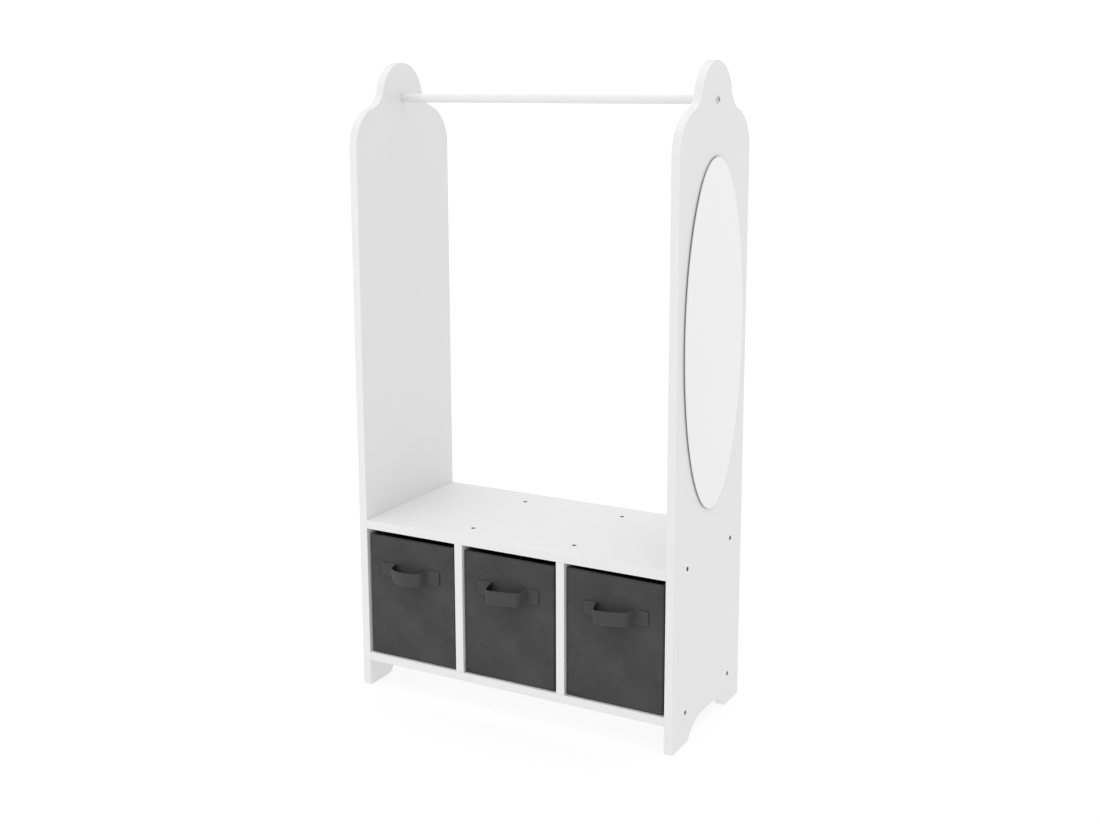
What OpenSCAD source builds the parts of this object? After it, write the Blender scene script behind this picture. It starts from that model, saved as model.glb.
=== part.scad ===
// Dress-up storage unit for a child's room: two shaped side panels, a shelf over three cubbies
// with fabric bins, a hanging rail between the panels' domes, and an oval mirror on the right.
// Millimetres. X runs to the right, Y to the back, Z up. The origin is on the floor, in the
// middle of the depth that the unit and its bin handles take up.

/* [Carcass] */
// Width over the two side panels
unit_w = 600; // [540:5:700]
// Depth of the side panels, front edge to back edge
unit_d = 280; // [260:5:340]
// Thickness of the painted boards
board_t = 15; // [13:0.5:18]
// Height of the shelf's top face above the floor
shelf_z = 305; // [280:1:350]
// Height of the bottom board's top face above the floor
base_z = 62; // [52:1:80]
// Thickness of the back panel behind the cubbies
back_t = 3; // [2.5:0.5:5]
// Distance from the boards' back edges to the back panel
back_inset = 8; // [5:1:15]
// Depth of the groove that holds the back panel's edges
groove_depth = 5; // [3:0.5:7]

/* [Side panel outline] */
// Height of the hanging rail's axis above the floor
rail_z = 1028; // [900:1:1200]
// Radius of the dome round the rail's axis
dome_r = 60; // [52:0.5:68]
// Radius of the shoulders
shoulder_r = 67.5; // [55:0.5:78]
// Drop from the rail's axis to where the shoulders start
shoulder_drop = 81; // [70:1:110]
// Radius of the hollow between dome and shoulder
hollow_r = 42.5; // [32:0.5:55]

/* [Feet] */
// Length of each foot on the floor, from the panel's edge
foot_l = 56; // [45:1:64]
// Height of the arch between the two feet
arch_h = 28.5; // [16:0.5:32]
// Radius where a foot turns up into the arch
foot_r = 12; // [6:0.5:15]
// Radius where the arch turns level
arch_r = 68; // [40:1:75]

/* [Hanging rail] */
// Diameter of the rail
rail_d = 15; // [12:0.5:22]
// Depth of the socket in each panel that holds the rail's end
rail_socket = 5; // [3:0.5:8]
// Diameter of the rail screw's round head
rail_head_d = 11.5; // [9:0.5:14]
// Height of the rail screw's round head
rail_head_h = 3; // [2:0.25:4]
// Length of the rail screw under its head
rail_screw_l = 40; // [30:1:50]

/* [Mirror] */
// Width of the oval mirror
mirror_w = 236; // [200:1:250]
// Height of the oval mirror
mirror_h = 567; // [480:1:600]
// Height of the mirror's middle above the floor
mirror_z = 658; // [600:1:690]
// Thickness of the mirror glass
mirror_t = 2; // [1.5:0.25:4]
// Thickness of the foam tape behind the mirror
tape_t = 1; // [0.5:0.25:2]
// Width of a strip of tape
tape_w = 20; // [12:1:30]
// Length of a strip of tape
tape_l = 50; // [30:1:60]
// Distance of the strips from the mirror's middle line
tape_y = 45; // [30:1:50]
// Vertical spacing of the strips
tape_pitch = 120; // [80:1:125]
// Number of strips in each of the two columns
tape_rows = 4; // [2:1:4]

/* [Board screws and dowels] */
// Distance of the outer screws from the boards' front and back edges
screw_inset = 50; // [30:1:70]
// Length of a board screw
screw_l = 45; // [38:1:60]
// Diameter of a board screw's countersunk head
screw_head_d = 8; // [7:0.25:10]
// Height of a board screw's countersunk head
screw_head_h = 2.5; // [2:0.25:4]
// Diameter of a board screw's plain neck
screw_neck_d = 5.5; // [5:0.25:6.5]
// Length of head and plain neck together
screw_neck_l = 12; // [8:0.5:14]
// Diameter of a board screw's threaded part
screw_d = 4.6; // [4:0.1:5]
// Width across the flats of a board screw's hexagon socket
socket_w = 4; // [3:0.5:5]
// Depth of the hexagon socket
socket_depth = 2; // [1.5:0.25:3]
// Diameter of a wooden dowel
dowel_d = 8; // [6:0.5:9]
// Length of a wooden dowel
dowel_l = 30; // [25:1:40]
// Depth of a dowel in the face of the board that it locates
dowel_in = 10; // [7:0.5:11]

/* [Bins] */
// Gap between a centred bin and each side of its cubby
bin_side_gap = 3.5; // [3:0.25:8]
// Gap between the bin's rim and the shelf
bin_top_gap = 9.7; // [5:0.1:25]
// Distance of the bin's front behind the boards' front edges
bin_recess = 5.5; // [2:0.5:15]
// Gap between the bin and the back panel
bin_back_gap = 2; // [1:0.5:10]
// Sideways place of each bin in its cubby, as it stands
bin_shift = [-0.5, -2.5, -1.5]; // [-2.5:0.5:2.5]
// Radius of the bin's upright corners
bin_r = 5; // [4.5:0.5:12]
// Thickness of the outer fabric
cover_t = 1; // [0.6:0.1:1.5]
// Thickness of the stiffening boards in the walls
stiffener_t = 2; // [1.5:0.25:3]
// Thickness of the lining fabric
lining_t = 1; // [0.6:0.1:1.5]
// Thickness of the fold that closes the rim
hem_t = 1.5; // [1:0.25:3]
// Thickness of the loose base board
insert_t = 3; // [2:0.5:5]
// Gap round the loose base board
insert_gap = 0.8; // [0.5:0.1:0.9]

/* [Bin handles] */
// Width of the strap
strap_w = 25; // [18:1:35]
// Thickness of the folded strap
strap_t = 2.4; // [1.5:0.1:4]
// Overall length of a handle, over both sewn tabs
handle_w = 115; // [100:1:130]
// Length of each sewn tab
tab_l = 21; // [15:1:25]
// How far the loop stands out from the bin
handle_out = 27; // [20:1:40]
// Radius of the loop's corners, outside
handle_r = 14; // [8:1:16]
// Distance from the bin's rim down to the strap
handle_drop = 47.5; // [30:0.5:120]
// Sideways place of each handle on its bin
handle_shift = [-1, 1.5, 4]; // [-5:0.5:5]

/* [Fits] */
// Clearance of screws and dowels in their holes, all round
fit_gap = 0.1; // [0.05:0.05:0.2]
// Clearance of the back panel in its groove, each side
groove_gap = 0.2; // [0.1:0.05:0.3]
// Clearance of the rail in its socket, all round
rail_gap = 0.15; // [0.1:0.05:0.3]
// Clearance under a bin, so that it slides
slide_gap = 0.3; // [0.2:0.05:0.5]

/* [Hidden] */

round_fn = 96;
mirror_fn = 180;
least_r = 0.5;
// Arcs that meet smoothly cross by this much, so that they join cleanly.
bite = 0.02;
past = 1;

// Places along Y: the handles reach past the front edges, so the middle of the boards'
// depth lies behind the origin by half of that reach.
handle_reach = handle_out - bin_recess;
mid_y = handle_reach / 2;
front_y = mid_y - unit_d / 2;
back_y = mid_y + unit_d / 2;
back_panel_y = back_y - back_inset - back_t;
screw_ys = [front_y + screw_inset, back_y - screw_inset];

// Places along X and Z.
outer_x = unit_w / 2;
inner_x = outer_x - board_t;
cubby_w = (2 * inner_x - 2 * board_t) / 3;
divider_x = (cubby_w + board_t) / 2;
shelf_under_z = shelf_z - board_t;
base_under_z = base_z - board_t;
shoulder_z = rail_z - shoulder_drop;

// One bin, measured from the size of its cubby.
bin_w = cubby_w - 2 * bin_side_gap;
bin_z = base_z + slide_gap;
bin_h = shelf_under_z - bin_top_gap - bin_z;
bin_front_y = front_y + bin_recess;
bin_d = back_panel_y - bin_back_gap - bin_front_y;
wall_t = cover_t + stiffener_t + lining_t;
cubby_xs = [-cubby_w - board_t, 0, cubby_w + board_t];

// Round parts of a side panel's top, measured from the rail's axis. The hollow's circle
// touches the dome and the shoulder.
function shoulder_c(side) = [side * (unit_d / 2 - shoulder_r), -shoulder_drop];
function touching_c(c1, r0, r1, side) =
    let (
        gap = norm(c1),
        along = (r0 * r0 - r1 * r1 + gap * gap) / (2 * gap),
        off = sqrt(r0 * r0 - along * along),
        u = c1 / gap
    )
    along * u + side * off * [-u.y, u.x];
function hollow_c(side) =
    touching_c(shoulder_c(side), dome_r + hollow_r, shoulder_r + hollow_r, side);

// A round bar along X, and one along Z.
module bar_x(x0, x1, y, z, d) {
    translate([x0, y, z])
        rotate([0, 90, 0])
            cylinder(d = d, h = x1 - x0, $fn = round_fn);
}

module bar_z(x, y, z0, z1, d) {
    translate([x, y, z0])
        cylinder(d = d, h = z1 - z0, $fn = round_fn);
}

// Half of a board screw's section, from the flat of its head down, grown by a gap.
module screw_section(gap, above) {
    polygon([
        [0, above],
        [screw_head_d / 2 + gap, above],
        [screw_head_d / 2 + gap, 0],
        [screw_neck_d / 2 + gap, -screw_head_h],
        [screw_neck_d / 2 + gap, -screw_neck_l],
        [screw_d / 2 + gap, -screw_neck_l],
        [screw_d / 2 + gap, -screw_l - gap],
        [0, -screw_l - gap]
    ]);
}

module board_screw() {
    difference() {
        rotate_extrude($fn = round_fn)
            screw_section(0, 0);
        translate([0, 0, -socket_depth])
            cylinder(d = socket_w / cos(30), h = socket_depth + past, $fn = 6);
    }
}

module board_screw_hole() {
    rotate_extrude($fn = round_fn)
        screw_section(fit_gap, past);
}

// Puts its children at each screw that joins the shelf and the bottom board to the right panel.
module at_side_screws() {
    for (z = [shelf_z - board_t / 2, base_z - board_t / 2], y = screw_ys)
        translate([outer_x, y, z])
            rotate([0, 90, 0])
                children();
}

module at_shelf_screws() {
    for (x = [-divider_x, divider_x], y = screw_ys)
        translate([x, y, shelf_z])
            children();
}

module at_base_screws() {
    for (x = [-divider_x, divider_x], y = screw_ys)
        translate([x, y, base_under_z])
            rotate([180, 0, 0])
                children();
}

// The dowels of the right panel's joints, and those over and under the dividers.
module side_dowels(gap) {
    for (z = [shelf_z - board_t / 2, base_z - board_t / 2])
        bar_x(inner_x + dowel_in - dowel_l - gap, inner_x + dowel_in + gap, mid_y, z,
              dowel_d + 2 * gap);
}

module divider_dowels(gap) {
    for (x = [-divider_x, divider_x]) {
        bar_z(x, mid_y, shelf_under_z + dowel_in - dowel_l - gap, shelf_under_z + dowel_in + gap,
              dowel_d + 2 * gap);
        bar_z(x, mid_y, base_z - dowel_in - gap, base_z - dowel_in + dowel_l + gap,
              dowel_d + 2 * gap);
    }
}

// The space that the back panel's edges run in, cut from every board round the cubbies.
module back_groove() {
    reach = groove_depth;
    translate([-inner_x - reach, back_panel_y - groove_gap, base_z - reach])
        cube([2 * (inner_x + reach), back_t + 2 * groove_gap,
              shelf_under_z - base_z + 2 * reach]);
}

// The rail screw's section: a round head that lies on the panel, over a plain shank.
module rail_screw() {
    head_r = rail_head_d / 2;
    ball_r = (head_r * head_r + rail_head_h * rail_head_h) / (2 * rail_head_h);
    difference() {
        rotate_extrude($fn = round_fn)
            union() {
                intersection() {
                    translate([0, rail_head_h - ball_r])
                        circle(r = ball_r, $fn = round_fn);
                    square([head_r, rail_head_h]);
                }
                translate([0, -rail_screw_l])
                    square([screw_d / 2, rail_screw_l]);
            }
        translate([0, 0, rail_head_h - socket_depth])
            cylinder(d = socket_w / cos(30), h = socket_depth + past, $fn = 6);
    }
}

// A side panel's board, before it is drilled: the straight part, two shoulders, the dome, and
// the neck between them that the hollows cut into.
module panel_board() {
    translate([inner_x, front_y, 0])
        cube([board_t, unit_d, shoulder_z]);
    translate([inner_x, mid_y, rail_z])
        rotate([90, 0, 90]) {
            cylinder(r = dome_r, h = board_t, $fn = round_fn);
            for (side = [-1, 1])
                translate(shoulder_c(side))
                    cylinder(r = shoulder_r, h = board_t, $fn = round_fn);
            difference() {
                linear_extrude(board_t)
                    polygon([
                        [0, 0], hollow_c(1), shoulder_c(1), shoulder_c(-1), hollow_c(-1)
                    ]);
                for (side = [-1, 1])
                    translate([0, 0, -past])
                        translate(hollow_c(side))
                            cylinder(r = hollow_r + bite, h = board_t + 2 * past,
                                     $fn = round_fn);
            }
        }
}

// What is cut away between a side panel's feet: a level middle, and on each side a hollow arc
// that runs into the round of the foot.
module foot_gap() {
    half = unit_d / 2 - foot_l;
    turn = sqrt(arch_h * (2 * (foot_r + arch_r) - arch_h));
    level = half - turn;
    h = board_t + 2 * past;
    translate([inner_x - past, mid_y, 0])
        rotate([90, 0, 90]) {
            translate([-level, arch_h - arch_r, 0])
                cube([2 * level, arch_r, h]);
            for (side = [0, 1])
                mirror([side, 0, 0]) {
                    translate([level, arch_h - arch_r, 0])
                        cylinder(r = arch_r, h = h, $fn = round_fn);
                    difference() {
                        linear_extrude(h)
                            polygon([
                                [level, arch_h - arch_r], [half, arch_h - arch_r], [half, foot_r]
                            ]);
                        translate([half, foot_r, -past])
                            cylinder(r = foot_r + bite, h = h + 2 * past, $fn = round_fn);
                    }
                }
        }
}

// The right-hand side panel. The left one is its mirror image.
module side_panel() {
    color("white")
        difference() {
            panel_board();
            foot_gap();
            at_side_screws()
                board_screw_hole();
            side_dowels(fit_gap);
            back_groove();
            bar_x(inner_x - past, inner_x + rail_socket, mid_y, rail_z, rail_d + 2 * rail_gap);
            bar_x(inner_x, outer_x + past, mid_y, rail_z, screw_d + 2 * fit_gap);
        }
}

module right_side_panel() {
    side_panel();
}

module left_side_panel() {
    mirror([1, 0, 0])
        side_panel();
}

// A board that runs between the side panels, with its end holes.
module cross_board(under_z) {
    difference() {
        translate([-inner_x, front_y, under_z])
            cube([2 * inner_x, unit_d, board_t]);
        for (side = [0, 1])
            mirror([side, 0, 0]) {
                at_side_screws()
                    board_screw_hole();
                side_dowels(fit_gap);
            }
        divider_dowels(fit_gap);
        back_groove();
    }
}

module shelf() {
    color("white")
        difference() {
            cross_board(shelf_under_z);
            at_shelf_screws()
                board_screw_hole();
        }
}

module bottom_board() {
    color("white")
        difference() {
            cross_board(base_under_z);
            at_base_screws()
                board_screw_hole();
        }
}

// An upright between shelf and bottom board. Its back edge stops just short of the back panel.
module divider(x) {
    color("white")
        difference() {
            translate([x - board_t / 2, front_y, base_z])
                cube([board_t, back_panel_y - groove_gap - front_y, shelf_under_z - base_z]);
            at_shelf_screws()
                board_screw_hole();
            at_base_screws()
                board_screw_hole();
            divider_dowels(fit_gap);
        }
}

module left_divider() {
    divider(-divider_x);
}

module right_divider() {
    divider(divider_x);
}

module back_panel() {
    reach = groove_depth - groove_gap;
    color("white")
        translate([-inner_x - reach, back_panel_y, base_z - reach])
            cube([2 * (inner_x + reach), back_t, shelf_under_z - base_z + 2 * reach]);
}

module hanging_rail() {
    end_x = inner_x + rail_socket;
    pilot_l = rail_screw_l - (outer_x - end_x) + fit_gap;
    color("white")
        difference() {
            bar_x(-end_x, end_x, mid_y, rail_z, rail_d);
            for (side = [0, 1])
                mirror([side, 0, 0])
                    bar_x(end_x - pilot_l, end_x + past, mid_y, rail_z, screw_d + 2 * fit_gap);
        }
}

module rail_screws() {
    color("silver")
        for (side = [0, 1])
            mirror([side, 0, 0])
                translate([outer_x, mid_y, rail_z])
                    rotate([0, 90, 0])
                        rail_screw();
}

module right_side_screws() {
    color("dimgray")
        at_side_screws()
            board_screw();
}

module left_side_screws() {
    mirror([1, 0, 0])
        right_side_screws();
}

module shelf_screws() {
    color("dimgray")
        at_shelf_screws()
            board_screw();
}

module base_screws() {
    color("dimgray")
        at_base_screws()
            board_screw();
}

module locating_dowels() {
    color("burlywood") {
        for (side = [0, 1])
            mirror([side, 0, 0])
                side_dowels(0);
        divider_dowels(0);
    }
}

module mirror_glass() {
    color("lightcyan")
        translate([outer_x + tape_t, mid_y, mirror_z])
            rotate([90, 0, 90])
                linear_extrude(mirror_t)
                    scale([mirror_w / mirror_h, 1])
                        circle(d = mirror_h, $fn = mirror_fn);
}

module mirror_tape() {
    last = (tape_rows - 1) / 2;
    color("gainsboro")
        for (side = [-1, 1], row = [-last : last])
            translate([outer_x, mid_y + side * tape_y - tape_w / 2,
                       mirror_z + row * tape_pitch - tape_l / 2])
                cube([tape_t, tape_w, tape_l]);
}

// A rectangle with round corners, centred on X, with its front edge at y = 0.
module round_rect(w, d, r) {
    translate([-w / 2 + r, 0])
        square([w - 2 * r, d]);
    translate([-w / 2, r])
        square([w, d - 2 * r]);
    for (x = [-w / 2 + r, w / 2 - r], y = [r, d - r])
        translate([x, y])
            circle(r = r, $fn = round_fn);
}

// A round-cornered block inside a bin, some way in from its outside all round.
module bin_block(in, z0, z1) {
    translate([0, bin_front_y + in, bin_z + z0])
        linear_extrude(z1 - z0)
            round_rect(bin_w - 2 * in, bin_d - 2 * in, max(bin_r - in, least_r));
}

module at_bin(i) {
    translate([cubby_xs[i] + bin_shift[i], 0, 0])
        children();
}

// The outer fabric: walls, floor, and the fold over the wall boards at the rim.
module bin_cover() {
    color("dimgray")
        difference() {
            bin_block(0, 0, bin_h);
            bin_block(cover_t, cover_t, bin_h - hem_t);
            bin_block(wall_t, bin_h - 2 * hem_t, bin_h + past);
        }
}

// Four stiff boards, one in each wall, between the outer fabric and the lining.
module bin_wall_boards() {
    side_w = bin_w - 2 * bin_r;
    side_d = bin_d - 2 * bin_r;
    board_h = bin_h - cover_t - hem_t;
    color("tan")
        translate([0, bin_front_y, bin_z + cover_t]) {
            for (y = [cover_t, bin_d - cover_t - stiffener_t])
                translate([-side_w / 2, y, 0])
                    cube([side_w, stiffener_t, board_h]);
            for (x = [-bin_w / 2 + cover_t, bin_w / 2 - cover_t - stiffener_t])
                translate([x, bin_r, 0])
                    cube([stiffener_t, side_d, board_h]);
        }
}

module bin_lining() {
    color("gray")
        difference() {
            bin_block(cover_t + stiffener_t, cover_t, bin_h - hem_t);
            bin_block(wall_t, cover_t + lining_t, bin_h);
        }
}

module bin_base_board() {
    color("darkgray")
        bin_block(wall_t + insert_gap, cover_t + lining_t, cover_t + lining_t + insert_t);
}

// Half of the strap's plan, on one side of the handle's middle: the tab lies on the bin's
// front, and the loop comes out, turns and runs to the middle.
module half_strap() {
    half = handle_w / 2 - tab_l;
    translate([half - strap_t, -strap_t])
        square([tab_l + strap_t, strap_t]);
    translate([half - strap_t, -handle_out + handle_r])
        square([strap_t, handle_out - handle_r]);
    translate([0, -handle_out])
        square([half - handle_r, strap_t]);
    translate([half - handle_r, -handle_out + handle_r])
        intersection() {
            difference() {
                circle(r = handle_r, $fn = round_fn);
                circle(r = handle_r - strap_t, $fn = round_fn);
            }
            translate([0, -handle_r])
                square([handle_r, handle_r]);
        }
}

module bin_handle(i) {
    color("dimgray")
        translate([handle_shift[i], bin_front_y, bin_z + bin_h - handle_drop - strap_w])
            linear_extrude(strap_w)
                union() {
                    half_strap();
                    mirror([1, 0])
                        half_strap();
                }
}

left_side_panel();
right_side_panel();
shelf();
bottom_board();
left_divider();
right_divider();
back_panel();
hanging_rail();
rail_screws();
left_side_screws();
right_side_screws();
shelf_screws();
base_screws();
locating_dowels();
mirror_glass();  // mirror
mirror_tape();
at_bin(0) bin_cover();  // left_bin_cover
at_bin(0) bin_wall_boards();  // left_bin_wall_boards
at_bin(0) bin_lining();  // left_bin_lining
at_bin(0) bin_base_board();  // left_bin_base_board
at_bin(0) bin_handle(0);  // left_bin_handle
at_bin(1) bin_cover();  // middle_bin_cover
at_bin(1) bin_wall_boards();  // middle_bin_wall_boards
at_bin(1) bin_lining();  // middle_bin_lining
at_bin(1) bin_base_board();  // middle_bin_base_board
at_bin(1) bin_handle(1);  // middle_bin_handle
at_bin(2) bin_cover();  // right_bin_cover
at_bin(2) bin_wall_boards();  // right_bin_wall_boards
at_bin(2) bin_lining();  // right_bin_lining
at_bin(2) bin_base_board();  // right_bin_base_board
at_bin(2) bin_handle(2);  // right_bin_handle
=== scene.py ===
"""Dress-up storage unit with mirror: its looks, on the frame that CAD has packed.

Two shaped side panels of painted fibreboard hold a shelf, a bottom board and a hanging rail.
Three bins of dark nonwoven cloth stand in the cubbies, and an oval mirror is taped to the right
panel. Metres throughout; X runs to the right, Y to the back and Z up, as in the CAD.
"""

from __future__ import annotations

import logging
import math
from collections.abc import Iterable, Sequence
from dataclasses import dataclass, field
from enum import Enum
from functools import cache
from itertools import accumulate

import bmesh
import bpy
from bpy.types import ID, Material, NodeSocket, NodeTree, Object
from mathutils import Matrix, Vector, noise

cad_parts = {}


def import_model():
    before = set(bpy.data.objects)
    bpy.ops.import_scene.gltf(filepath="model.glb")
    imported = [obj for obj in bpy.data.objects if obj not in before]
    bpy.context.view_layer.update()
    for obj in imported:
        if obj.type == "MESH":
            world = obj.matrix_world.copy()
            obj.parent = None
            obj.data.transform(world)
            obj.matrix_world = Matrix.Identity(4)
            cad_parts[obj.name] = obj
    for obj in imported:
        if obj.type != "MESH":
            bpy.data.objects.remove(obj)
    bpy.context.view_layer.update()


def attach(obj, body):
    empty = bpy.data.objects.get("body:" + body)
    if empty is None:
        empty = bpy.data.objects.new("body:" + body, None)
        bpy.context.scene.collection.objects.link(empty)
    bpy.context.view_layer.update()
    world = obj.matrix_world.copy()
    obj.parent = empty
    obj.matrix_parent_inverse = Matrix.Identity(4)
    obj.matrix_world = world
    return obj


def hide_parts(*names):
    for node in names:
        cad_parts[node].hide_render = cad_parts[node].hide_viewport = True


MM = 0.001
HAIR = 0.002 * MM  # points closer than this are one point
LOG = logging.getLogger("dress_up_unit")

Faces = list[tuple[int, ...]]
Profile = list[tuple[float, float]]
Places = list[tuple[Vector, Vector]]  # pairs of a place and the way out of the board there
Heights = list[tuple[NodeSocket, float]]  # pairs of a pattern's socket and its real height
Values = tuple[tuple[str, object], ...]  # pairs of a socket's name and its value


class Side(Enum):
    """The two sides of the unit, with the sign of their X."""

    LEFT = -1
    RIGHT = 1

    @property
    def out(self) -> Vector:
        """The way out of the unit on this side."""
        return Vector((self.value, 0, 0))


class Axis(Enum):
    """Directions that boards, dowels and the rail lie along."""

    X = Vector((1.0, 0.0, 0.0))
    Z = Vector((0.0, 0.0, 1.0))


@dataclass(frozen=True)
class UnitSizes:
    """Sizes that several sub-assemblies share, as in the part's source."""

    width: float = 600 * MM
    depth: float = 280 * MM
    board: float = 15 * MM
    shelf_top: float = 305 * MM
    base_top: float = 62 * MM
    mid_y: float = 10.75 * MM
    rail_z: float = 1028 * MM
    back_inset: float = 8 * MM
    back_board: float = 3 * MM
    groove: float = 5 * MM
    screw_inset: float = 50 * MM
    # Worked out from those above.
    outer_x: float = width / 2
    inner_x: float = outer_x - board
    front_y: float = mid_y - depth / 2
    back_y: float = mid_y + depth / 2
    back_board_y: float = back_y - back_inset - back_board
    cubby: float = (2 * inner_x - 2 * board) / 3
    divider_x: float = (cubby + board) / 2
    shelf_under: float = shelf_top - board
    base_under: float = base_top - board
    board_zs: tuple[float, float] = (shelf_top - board / 2, base_top - board / 2)
    screw_ys: tuple[float, float] = (front_y + screw_inset, back_y - screw_inset)


UNIT = UnitSizes()


def mm(*lengths: float) -> tuple[float, ...]:
    """Lengths in metres, from millimetres."""
    return tuple(length * MM for length in lengths)


def clamp(value: float) -> float:
    """A value kept between 0 and 1."""
    return max(0.0, min(1.0, value))


def ease(value: float) -> float:
    """A value kept between 0 and 1, that starts and ends slowly."""
    t = clamp(value)
    return t * t * (3 - 2 * t)


def mix(pair: Sequence[float], share: float) -> float:
    """A value between a pair's first, at share 0, and its second, at share 1."""
    return pair[0] * (1 - share) + pair[1] * share


def bell(distance: float, height: float, width: float) -> float:
    """A bell curve: its height at a distance from its middle."""
    return height * math.exp(-((distance / width) ** 2))


def distances(points: Sequence[Sequence[float]]) -> list[float]:
    """How far along a line each of its points lies."""
    steps = ((Vector(b) - Vector(a)).length for a, b in zip(points, points[1:]))
    return list(accumulate(steps, initial=0.0))


# ---------------------------------------------------------------- colours and nodes


def srgb(code: str) -> tuple[float, float, float, float]:
    """Turn a colour's hex code into the linear values that shaders take.

    Args:
        code: Six hex digits with a leading hash.

    Returns:
        Red, green, blue and alpha, linear.
    """
    parts = [int(code[i : i + 2], 16) / 255 for i in (1, 3, 5)]
    red, green, blue = (c / 12.92 if c <= 0.04045 else ((c + 0.055) / 1.055) ** 2.4 for c in parts)
    return (red, green, blue, 1.0)


def add_node(
    tree: NodeTree, kind: str, inputs: dict | None = None, out: int | str = 0, **settings: object
) -> NodeSocket | None:
    """Add a node with its settings, its fixed inputs and its links.

    Args:
        tree: The tree that gets the node.
        kind: The node's type name.
        inputs: Values or other nodes' outputs, by socket name, or by place where a name repeats.
        out: Which of its outputs is wanted.
        **settings: The node's own properties.

    Returns:
        That output, or None where the node has none.
    """
    node = tree.nodes.new(kind)
    for key, value in settings.items():
        setattr(node, key, value)
    for key, value in (inputs or {}).items():
        if isinstance(value, NodeSocket):
            tree.links.new(value, node.inputs[key])
        else:
            node.inputs[key].default_value = value
    return node.outputs[out] if node.outputs else None


# ---------------------------------------------------------------- finishes


class Texture(Enum):
    """Kinds of pattern: the node that draws each, and its output."""

    NOISE = ("ShaderNodeTexNoise", "Fac")
    CELLS = ("ShaderNodeTexVoronoi", "Distance")
    LINES = ("ShaderNodeTexWave", "Fac")


@dataclass(frozen=True)
class Relief:
    """A pattern that stands up from a surface.

    Attributes:
        size: Real size of its marks. Lines lie a third of it apart.
        depth: Real height of its marks.
        inputs: The texture's other inputs.
        texture: Kind of pattern.
        lines: Which way its lines run.
        drawn: How much closer together its marks lie along each axis, if below 1 further apart.
        turn: How far it is turned about Y.
    """

    size: float
    depth: float
    inputs: Values = ()
    texture: Texture = Texture.NOISE
    lines: str = ""
    drawn: tuple[float, float, float] = (1.0, 1.0, 1.0)
    turn: float = 0.0

    def draw(self, tree: NodeTree, place: NodeSocket) -> NodeSocket:
        """Draw the pattern.

        Args:
            tree: The material's tree.
            place: Socket of the coordinates.

        Returns:
            The pattern's socket, 0 to 1.
        """
        if self.turn or self.drawn != (1.0, 1.0, 1.0):
            laid = {"Vector": place, "Rotation": (0.0, self.turn, 0.0), "Scale": self.drawn}
            place = add_node(tree, "ShaderNodeMapping", laid)
        inputs = {"Vector": place, "Scale": 1 / self.size, **dict(self.inputs)}
        settings = {"bands_direction": self.lines} if self.lines else {}
        kind, out = self.texture.value
        return add_node(tree, kind, inputs, out, **settings)


@dataclass(frozen=True)
class Finish:
    """What all finishes share.

    Attributes:
        name: The material's name.
        light: Lighter tone of the surface, sRGB.
        deep: Deeper tone of the surface, sRGB.
        tone_size: Size of a patch of one tone.
        rough: Lowest and highest roughness.
        shine: What is the same all over the surface, on the shader's own sockets.
        reliefs: What stands up from the surface, coarsest first.
        coords: "Object" for rigid pieces, "UV" where the pattern follows the cloth.
    """

    name: str
    light: str
    deep: str
    tone_size: float
    rough: tuple[float, float]
    shine: Values = ()
    reliefs: tuple[Relief, ...] = ()
    coords: str = "Object"

    def raised(self, tree: NodeTree, place: NodeSocket) -> Heights:
        """Every raised pattern with its height, coarsest first."""
        return [(relief.draw(tree, place), relief.depth) for relief in self.reliefs]

    @cache
    def material(self) -> Material:
        """Make the material once: patchy tone, patchy roughness and raised patterns.

        Returns:
            The material.
        """
        material = bpy.data.materials.new(self.name)
        material.use_nodes = True
        material.diffuse_color = srgb(self.light)
        tree = material.node_tree
        shader = tree.nodes["Principled BSDF"].inputs
        for key, value in self.shine:
            shader[key].default_value = value
        place = add_node(tree, "ShaderNodeTexCoord", out=self.coords)
        grain = {"Vector": place, "Scale": 1 / self.tone_size, "Detail": 3.0, "Roughness": 0.55}
        patch = add_node(tree, "ShaderNodeTexNoise", grain)
        tones = {0: patch, 6: srgb(self.deep), 7: srgb(self.light)}
        tree.links.new(add_node(tree, "ShaderNodeMix", tones, 2, data_type="RGBA"),
                       shader["Base Color"])
        span = {"From Min": 0.3, "From Max": 0.7, "To Min": self.rough[0], "To Max": self.rough[1]}
        tree.links.new(add_node(tree, "ShaderNodeMapRange", {"Value": patch, **span}),
                       shader["Roughness"])
        under = {}
        for height, depth in self.raised(tree, place):
            bump = {"Strength": 1.0, "Distance": depth, "Height": height, **under}
            under = {"Normal": add_node(tree, "ShaderNodeBump", bump)}
            tree.links.new(under["Normal"], shader["Normal"])
        return material


PAINT_WAVES = Relief(25 * MM, 0.04 * MM, (("Detail", 1.0),))
PEEL = (("Detail", 2.0), ("Roughness", 0.4))  # orange peel: the fine dimples of sprayed paint
ALONG_BAR = (1 / 9, 1.0, 1.0)


@dataclass(frozen=True)
class SatinPaint(Finish):
    """White satin lacquer sprayed on fibreboard: an even soft shine with a faint orange peel."""

    shine: Values = (("IOR", 1.5), ("Coat Weight", 0.06), ("Coat Roughness", 0.25))
    reliefs: tuple[Relief, ...] = (PAINT_WAVES, Relief(1.6 * MM, 0.012 * MM, PEEL))


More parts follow.
